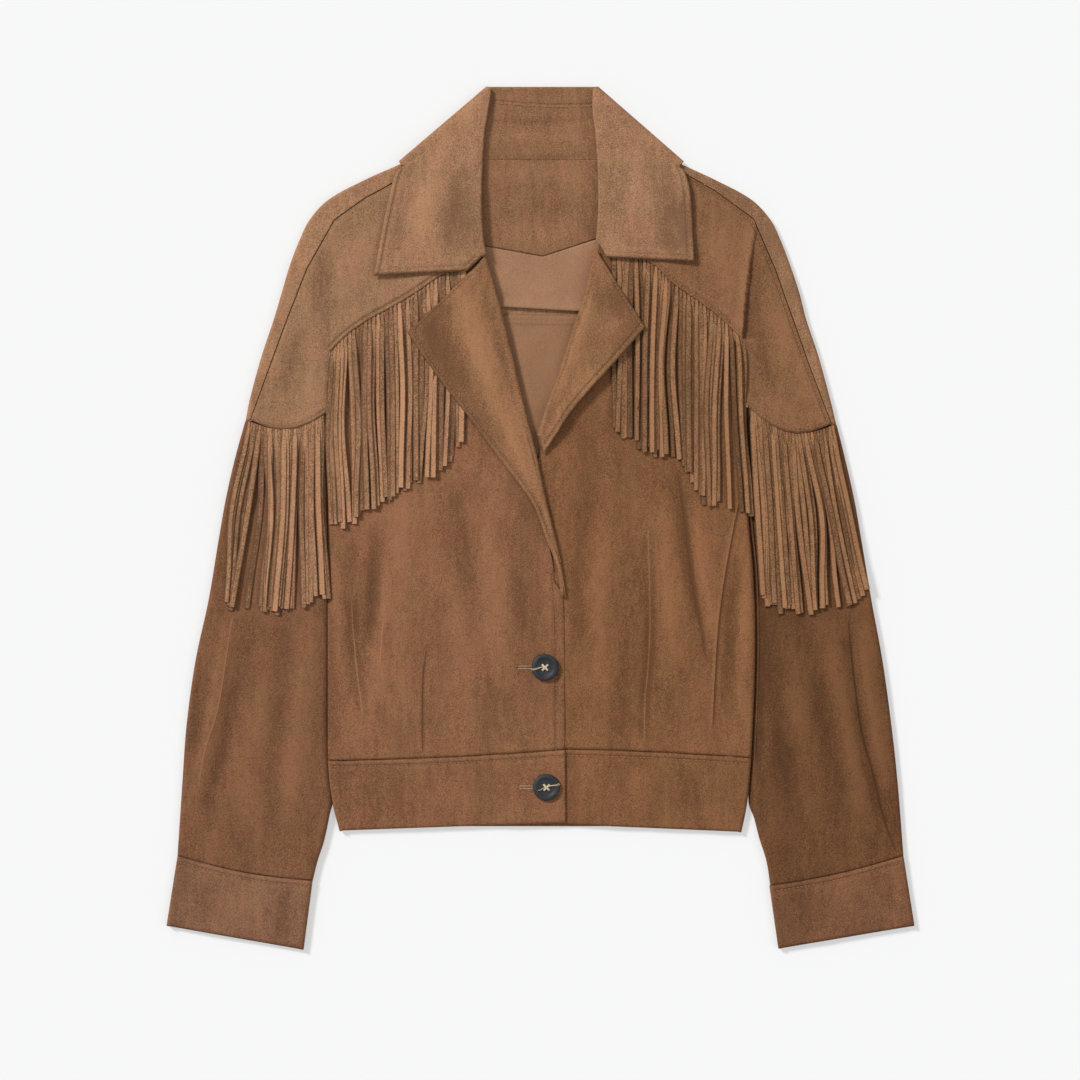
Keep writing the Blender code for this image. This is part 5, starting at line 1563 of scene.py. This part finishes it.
def suede(name, colour, turn=0.0, fact="nap", slits=(), right_painted_shade=0.0):
    """Brushed suede: pile streaks, soft handling marks, fine grain, a dull sheen, painted light and
    shade.
    """
    made, tree, body, place = shader(name, {
        "Roughness": 0.92, "Specular IOR Level": 0.10, "Sheen Weight": 0.12,
        "Sheen Roughness": 0.5, "Sheen Tint": (*tinted(colour, 2.0), 1.0)})
    seen = {label: noise(tree, place, scale, (1.0, along, 1.0), detail, turn if along < 1 else 0.0)
            for label, scale, along, detail, _ in SUEDE_PATTERNS}
    lines = [slit(tree, place, *row) for row in slits]
    # Painted light and shade: the colour takes the fact that the mesh holds. On cloth that is the
    # light and shade of its relief, on strands their tone and painted shade.
    value = summed(tree, [
        *((seen[label], weight, 0.5) for label, _, _, _, weight in SUEDE_PATTERNS),
        (attribute(tree, fact), FACT_WEIGHTS[fact], 0.0),
        *((line, SLIT_SHADE, 0.0) for line in lines)])
    # Painted shade: the piece's right half is painted darker.
    if right_painted_shade:
        right = ranged(tree, axis(tree, place, "X"), -0.05, 0.1)
        value = summed(tree, ((value, 1.0, 0.0), (right, -right_painted_shade, 0.0)), 0.0)
    # Painted shade along the strands' edges, between the strands, with darker cut edges.
    if fact == "tone":
        edge = ranged(tree, math_of(tree, "ABSOLUTE", attribute(tree, "across")), 0.30, 0.48)
        value = summed(tree, ((value, 1.0, 0.0), (edge, -STRAND_EDGE_SHADE, 0.0)), 0.0)
    cool, warm = (ramp(tree, value, colour, ((0.0, FACT_DARKS[fact], *stops[0]), *stops[1:]))
                  for stops in (SUEDE_COOL, SUEDE_WARM))
    hue = ranged(tree, noise(tree, place, 62, detail=3.0), 0.26, 0.74)
    mixed = add(tree, "ShaderNodeMix", {"Factor": hue, "A": cool, "B": warm}, data_type="RGBA")
    fibre = summed(tree, [*((seen[label], weight, 0.5) for label, weight in SUEDE_FIBRES),
                          *((line, SLIT_DEEP, 0.0) for line in lines)])
    relief = bump(tree, fibre, 0.85, 0.0005)
    if fact == "nap":
        groove = ranged(tree, attribute(tree, "stitch_row"), 0.0, 1.3)
        relief = bump(tree, groove, 0.9, 0.0005, Normal=relief)
    fill(tree, body, {"Base Color": mixed, "Normal": relief})
    return made


def twill(name, colour):
    """Lining twill: a fine slanting rib, faintly uneven, with a slight lustre."""
    made, tree, body, place = shader(name, {"Roughness": 0.62, "Specular IOR Level": 0.3,
                                            "Sheen Weight": 0.15})
    rib = add(tree, "ShaderNodeTexWave",
              {"Vector": place, "Scale": 260.0, "Distortion": 1.2, "Detail": 2.0,
               "Detail Scale": 3.0}, wave_type="BANDS", bands_direction="DIAGONAL")
    rib = rib.node.outputs["Fac"]
    value = summed(tree, ((rib, 0.22, 0.5), (noise(tree, place, 700, (1.0, 0.2, 1.0)), 0.4, 0.5),
                          (noise(tree, place, 24), 0.9, 0.5),
                          (noise(tree, place, 1300, detail=1.0), 1.3, 0.5)))
    cloth_colour = ramp(tree, value, colour, ((0.05, 0.72), (0.5, 1.0), (0.95, 1.3)))
    fill(tree, body, {"Base Color": cloth_colour, "Normal": bump(tree, rib, 0.5, 0.0002)})
    return made


def resin(name, colour):
    """Dark button resin, clouded a little and finely scratched, its roughness varying with the
    scratches.
    """
    made, tree, body, place = shader(name, {"Specular IOR Level": 0.3})
    clouds = noise(tree, place, 210, (1.0, 0.5, 1.0), 3.0)
    scratch = noise(tree, place, 900, (0.3, 1.0, 1.0), 2.0, 0.6)
    value = summed(tree, ((clouds, 0.9, 0.5), (scratch, 0.35, 0.5)))
    fill(tree, body, {
        "Base Color": ramp(tree, value, colour, ((0.1, 0.6), (0.5, 1.0), (0.9, 1.7))),
        "Roughness": ranged(tree, scratch, 0.0, 1.0, 0.42, 0.65),
        "Normal": bump(tree, scratch, 0.2, 0.0001)})
    return made


def spun(name, colour):
    """Sewing thread, with the light and dark of its twist."""
    made, tree, body, place = shader(name, {"Roughness": 0.7, "Sheen Weight": 0.2})
    value = summed(tree, ((noise(tree, place, 2400, detail=1.0), 1.0, 0.5),))
    fill(tree, body, {"Base Color": ramp(tree, value, colour, ((0.2, 0.7), (0.8, 1.25)))})
    return made


def paper(name, colour):
    """The pale floor, a faintly uneven paper that glows a little, which thins the shadows."""
    made, tree, body, place = shader(name, {
        "Roughness": 0.95, "Specular IOR Level": 0.05, "Emission Color": (*FLOOR_GLOW, 1.0),
        "Emission Strength": FLOOR_GLOW_STRENGTH})
    shade = ramp(tree, noise(tree, place, 3.0), colour, ((0.0, 0.995), (1.0, 1.0)))
    fill(tree, body, {"Base Color": shade})
    return made


def linear(red, green, blue):
    """A colour from 0 to 255 as it is seen, as the linear light that a shader mixes."""
    seen = np.array([red, green, blue]) / 255.0
    return tuple(float(c) for c in np.where(seen > 0.04045, ((seen + 0.055) / 1.055) ** 2.4,
                                            seen / 12.92))


def colour_prop(name, description, seen):
    return bpy.props.FloatVectorProperty(name=name, description=description, subtype="COLOR",
                                         size=3, min=0.0, max=1.0, default=linear(*seen))


def length_prop(name, description, default):
    return bpy.props.FloatProperty(name=name, description=description, subtype="DISTANCE",
                                   unit="LENGTH", min=0.0, default=default)


class JacketSizes(bpy.types.PropertyGroup):
    """Sizes of the sewing and the fringe."""

    stitch_pitch: length_prop("Stitch pitch", "From one stitch to the next", 0.0034)
    stitch_length: length_prop("Stitch length", "Length of one stitch", 0.0026)
    thread: length_prop("Thread", "Thickness of the sewing thread", 0.00055)
    strand_width: length_prop("Strand width", "Width of one fringe strand", 0.0052)
    strand_crown: length_prop("Strand height", "Height of a strand's rounded back", 0.00185)
    yoke_strands: bpy.props.IntProperty(name="Yoke strands", default=34, min=4, max=60,
                                        description="Strands on each front yoke")
    sleeve_strands: bpy.props.IntProperty(name="Sleeve strands", default=29, min=4, max=60,
                                          description="Strands on each sleeve")


class JacketColours(bpy.types.PropertyGroup):
    """Colours of the jacket's cloth, fringe, lining, thread and buttons."""

    # The left and right yokes, fronts, sleeves, cuffs and fringes are lit and shaded copies of one
    # suede: painted light on the left ones, painted shade on the right ones.
    yoke: colour_prop("Left yoke", "Suede of the left front yoke", (143, 108, 80))
    shoulders: colour_prop("Shoulders", "Suede of the back yoke over the shoulders", (155, 117, 87))
    yoke_right: colour_prop("Right yoke", "Suede of the right front yoke", (128, 92, 64))
    body_left: colour_prop("Left front", "Suede of the left front", (131, 92, 65))
    body_right: colour_prop("Right front", "Suede of the right front", (125, 87, 58))
    sleeve_left: colour_prop("Left sleeve", "Suede of the left sleeve", (120, 84, 59))
    sleeve_right: colour_prop("Right sleeve", "Suede of the right sleeve", (105, 72, 47))
    cuff_left: colour_prop("Left cuff", "Suede of the left cuff", (127, 92, 69))
    cuff_right: colour_prop("Right cuff", "Suede of the right cuff", (119, 83, 59))
    lapels: colour_prop("Lapels", "Suede of the lapels", (139, 101, 71))
    collar: colour_prop("Collar", "Suede of the collar and its stand", (153, 115, 86))
    facing: colour_prop("Neck facing", "Suede of the neck facing", (137, 100, 72))
    fringe_left: colour_prop("Left fringe", "Suede of the left strands", (160, 120, 89))
    fringe_right: colour_prop("Right fringe", "Suede of the right strands", (143, 105, 74))
    # The two linings are one twill: the lower one is a darker copy, as painted shade.
    lining: colour_prop("Lining", "Lining twill of the neck", (156, 114, 84))
    lining_low: colour_prop("Lower lining", "Lining twill of the back", (146, 105, 74))
    thread: colour_prop("Thread", "Sewing thread", (158, 118, 84))
    button_thread: colour_prop("Button thread", "Thread that holds the buttons", (206, 186, 156))
    button: colour_prop("Buttons", "Button resin", (44, 46, 50))
    floor: colour_prop("Floor", "Pale floor", (186, 187, 188))


def checked(count):
    """Ends an operator, with an error if it made no piece."""
    if len(PIECES) <= count:
        raise RuntimeError("No piece was made")
    return {"FINISHED"}


class JACKET_OT_back(bpy.types.Operator):
    """Lays the back, its band and the back yoke that comes over the shoulders"""

    bl_idname = "jacket.back"
    bl_label = "Back and back yoke"

    def execute(self, context):
        count = len(PIECES)
        colours = context.scene.jacket_colours
        back_panels(suede("suede_back", colours.body_right))
        # The back yoke's right half is painted darker, as shade.
        back_yoke(suede("suede_back_yoke", colours.shoulders, right_painted_shade=0.2))
        return checked(count)


class JACKET_OT_inside(bpy.types.Operator):
    """Lays the neck facing and the lining that show in the neck opening"""

    bl_idname = "jacket.inside"
    bl_label = "Facing and lining"

    def execute(self, context):
        count = len(PIECES)
        colours = context.scene.jacket_colours
        inside(suede("suede_facing", colours.facing), twill("lining_twill", colours.lining),
               twill("lining_twill_low", colours.lining_low))
        stand(suede("suede_stand", colours.facing))
        return checked(count)


class JACKET_OT_fronts(bpy.types.Operator):
    """Lays the two fronts, the right one under the left, and their hem bands"""

    bl_idname = "jacket.fronts"
    bl_label = "Fronts and hem bands"

    def execute(self, context):
        count = len(PIECES)
        for side in reversed(SIDES):
            colour = getattr(context.scene.jacket_colours, f"body_{side}")
            front(side, suede(f"suede_body_{side}", colour, slits=SLITS[side]))
            band(side, suede(f"suede_band_{side}", colour))
        return checked(count)


class JACKET_OT_yokes(bpy.types.Operator):
    """Lays the front yokes over the fronts' upper edges"""

    bl_idname = "jacket.yokes"
    bl_label = "Front yokes"

    def execute(self, context):
        count = len(PIECES)
        colours = context.scene.jacket_colours
        for side, colour in zip(SIDES, (colours.yoke, colours.yoke_right)):
            front_yoke(side, suede(f"suede_yoke_{side}", colour))
        return checked(count)


class JACKET_OT_sleeves(bpy.types.Operator):
    """Lays the sleeves and their cuffs"""

    bl_idname = "jacket.sleeves"
    bl_label = "Sleeves and cuffs"

    def execute(self, context):
        count = len(PIECES)
        colours = context.scene.jacket_colours
        for side in SIDES:
            turn = SLEEVE_NAP_TURN * INWARD[side]
            sleeve(side, suede(f"suede_sleeve_{side}", getattr(colours, f"sleeve_{side}"),
                               turn=turn, slits=SLEEVE_SLITS[side]),
                   suede(f"suede_cuff_{side}", getattr(colours, f"cuff_{side}"), turn=turn))
        return checked(count)


class JACKET_OT_collar(bpy.types.Operator):
    """Turns the collar and the lapels over the fronts"""

    bl_idname = "jacket.collar"
    bl_label = "Collar and lapels"

    def execute(self, context):
        count = len(PIECES)
        colours = context.scene.jacket_colours
        for side in SIDES:
            lapel(side, suede(f"suede_lapel_{side}", colours.lapels))
        collar(suede("suede_collar", colours.collar))
        return checked(count)


class JACKET_OT_fringe(bpy.types.Operator):
    """Hangs the strands from the yoke seams and the sleeve seams"""

    bl_idname = "jacket.fringe"
    bl_label = "Fringe"

    def execute(self, context):
        count = len(PIECES)
        sizes = context.scene.jacket_sizes
        wide, crown = sizes.strand_width / MM, sizes.strand_crown / MM
        for side in SIDES:
            colour = getattr(context.scene.jacket_colours, f"fringe_{side}")
            finish = suede(f"suede_fringe_{side}", colour, fact="tone")
            yoke_seam = through(YOKE_SEAM[side], np.linspace(*YOKE_ROOTS[side], 200))
            a, b = (at(*line[side][0]) for line in (SLEEVE_OUTER, SLEEVE_INNER))
            if side == "right":
                a, b = b, a
            u = np.linspace(*SLEEVE_ROOTS, 200)[:, None]
            sleeve_seam = a + (b - a) * u - np.array([[0.0, SEAM_BOW[side]]]) * np.sin(np.pi * u)
            pieces = (f"front_{side}", f"sleeve_{side}")
            for part, seam, ends, strand_count, under, seed, armpit in (
                    ("yoke", yoke_seam, YOKE_ENDS[side], sizes.yoke_strands, pieces,
                     FRINGE_SEEDS[side][0], FRINGE_ARMPIT[side]),
                    ("sleeve", sleeve_seam, SLEEVE_ENDS[side], sizes.sleeve_strands, pieces[::-1],
                     FRINGE_SEEDS[side][1], NO_ARMPIT)):
                node = f"{part}_fringe_{side}"
                strands(f"{node}_strands", node, seam, ends, strand_count, under, seed, finish,
                        wide, crown, armpit)
                header(f"{node}_strip", seam, strand_count, under, finish)
        return checked(count)


class JACKET_OT_sewing(bpy.types.Operator):
    """Sews the rows of stitches along the edges and seams"""

    bl_idname = "jacket.sewing"
    bl_label = "Stitches"

    def execute(self, context):
        count = len(PIECES)
        sizes = context.scene.jacket_sizes
        thread = spun("sewing_thread", context.scene.jacket_colours.thread)
        for name, rows in SEWN.items():
            slot = "suede_collar" if name.startswith(("collar", "lapel")) else "suede"
            stitched(f"{name}_stitches", rows, (name,), thread, slot, sizes.stitch_pitch / MM,
                     sizes.stitch_length / MM, sizes.thread / MM, SEAM_STITCH_SINKS)
        tacks = [through(tack, np.linspace(0, 1, 12)) for tack in SHOULDER_TACKS]
        stitched("shoulder_tacks", tacks, ("back_yoke", "front_yoke_left", "front_yoke_right"),
                 thread, "suede", *TACK_STITCH)
        hem = [through(row, np.linspace(0, 1, 40)) for row in LINING_HEM_ROWS]
        stitched("lining_lower_stitches", hem, ("lining_lower",), thread, "lining",
                 *LINING_STITCH)
        return checked(count)


class JACKET_OT_buttons(bpy.types.Operator):
    """Sews on the two buttons and works their buttonholes"""

    bl_idname = "jacket.buttons"
    bl_label = "Buttons and buttonholes"

    def execute(self, context):
        count = len(PIECES)
        colours = context.scene.jacket_colours
        finish = resin("button_resin", colours.button)
        thread = spun("button_thread", colours.button_thread)
        for name, col, row in BUTTONS:
            button(name, col, row, BUTTON_TAILS[name], finish, thread)
            rows = [through([(col + c, row + r) for c, r in line], np.linspace(0, 1, 30))
                    for line in BUTTONHOLE_ROWS]
            stitched(name.replace("button", "buttonhole"), rows,
                     ("front_left", "hem_band_left"), thread, "button", *BUTTONHOLE_STITCH)
        return checked(count)


class JACKET_OT_stage(bpy.types.Operator):
    """Sets the pale floor, the soft lights and the camera above"""

    bl_idname = "jacket.stage"
    bl_label = "Floor, lights and camera"

    def execute(self, context):
        count = len(PIECES)
        scene = context.scene
        mesh = bpy.data.meshes.new("floor")
        half = FLOOR_WIDE / 2
        mesh.from_pydata([(x * half, y * half, -FLOOR_UNDER)
                          for x, y in ((-1, -1), (1, -1), (1, 1), (-1, 1))], [], [(0, 1, 2, 3)])
        mesh.materials.append(paper("floor_paper", scene.jacket_colours.floor))
        floor = placed(bpy.data.objects.new("floor", mesh))
        PIECES["floor"] = floor
        scene.world = bpy.data.worlds.new("studio")
        scene.world.use_nodes = True
        fill(scene.world.node_tree, scene.world.node_tree.nodes["Background"],
             {"Color": AMBIENT_COLOUR, "Strength": AMBIENT})
        for name, toward, strength, wide in LAMPS:
            lamp = bpy.data.lights.new(name, "SUN")
            lamp.energy = strength
            lamp.angle = math.radians(wide)
            made = placed(bpy.data.objects.new(name, lamp))
            made.location = toward
            made.rotation_mode = "QUATERNION"
            made.rotation_quaternion = (-Vector(toward)).to_track_quat("-Z", "Y")
        lens = bpy.data.cameras.new("above")
        lens.lens = CAMERA_LENS
        lens.sensor_width = CAMERA_SENSOR
        lens.clip_end = CAMERA_REACH
        scene.camera = placed(bpy.data.objects.new("above", lens))
        scene.camera.location = (*(at(*CAMERA_MIDDLE) * MM),
                                 CAMERA_WIDE * MM * CAMERA_LENS / CAMERA_SENSOR)
        scene.view_settings.view_transform = "Standard"
        return checked(count)


class JACKET_PT_pieces(bpy.types.Panel):
    """Lists the jacket's pieces, sizes and colours"""

    bl_idname = "JACKET_PT_pieces"
    bl_label = "Fringed jacket"
    bl_space_type = "VIEW_3D"
    bl_region_type = "UI"
    bl_category = "Jacket"

    def draw(self, context):
        column = self.layout.column(align=True)
        for operator in OPERATORS:
            column.operator(operator.bl_idname)
        for group in (context.scene.jacket_sizes, context.scene.jacket_colours):
            box = self.layout.box()
            for name in group.__annotations__:
                box.prop(group, name)


OPERATORS = (JACKET_OT_back, JACKET_OT_inside, JACKET_OT_fronts, JACKET_OT_yokes,
             JACKET_OT_sleeves, JACKET_OT_collar, JACKET_OT_fringe, JACKET_OT_sewing,
             JACKET_OT_buttons, JACKET_OT_stage)
CLASSES = (JacketSizes, JacketColours, *OPERATORS, JACKET_PT_pieces)


def register():
    for cls in CLASSES:
        bpy.utils.register_class(cls)
    bpy.types.Scene.jacket_sizes = bpy.props.PointerProperty(type=JacketSizes)
    bpy.types.Scene.jacket_colours = bpy.props.PointerProperty(type=JacketColours)


def unregister():
    del bpy.types.Scene.jacket_colours
    del bpy.types.Scene.jacket_sizes
    for cls in reversed(CLASSES):
        bpy.utils.unregister_class(cls)


def main():
    register()
    for operator in OPERATORS:
        group, name = operator.bl_idname.split(".")
        getattr(getattr(bpy.ops, group), name)()


if __name__ == "__main__":
    main()
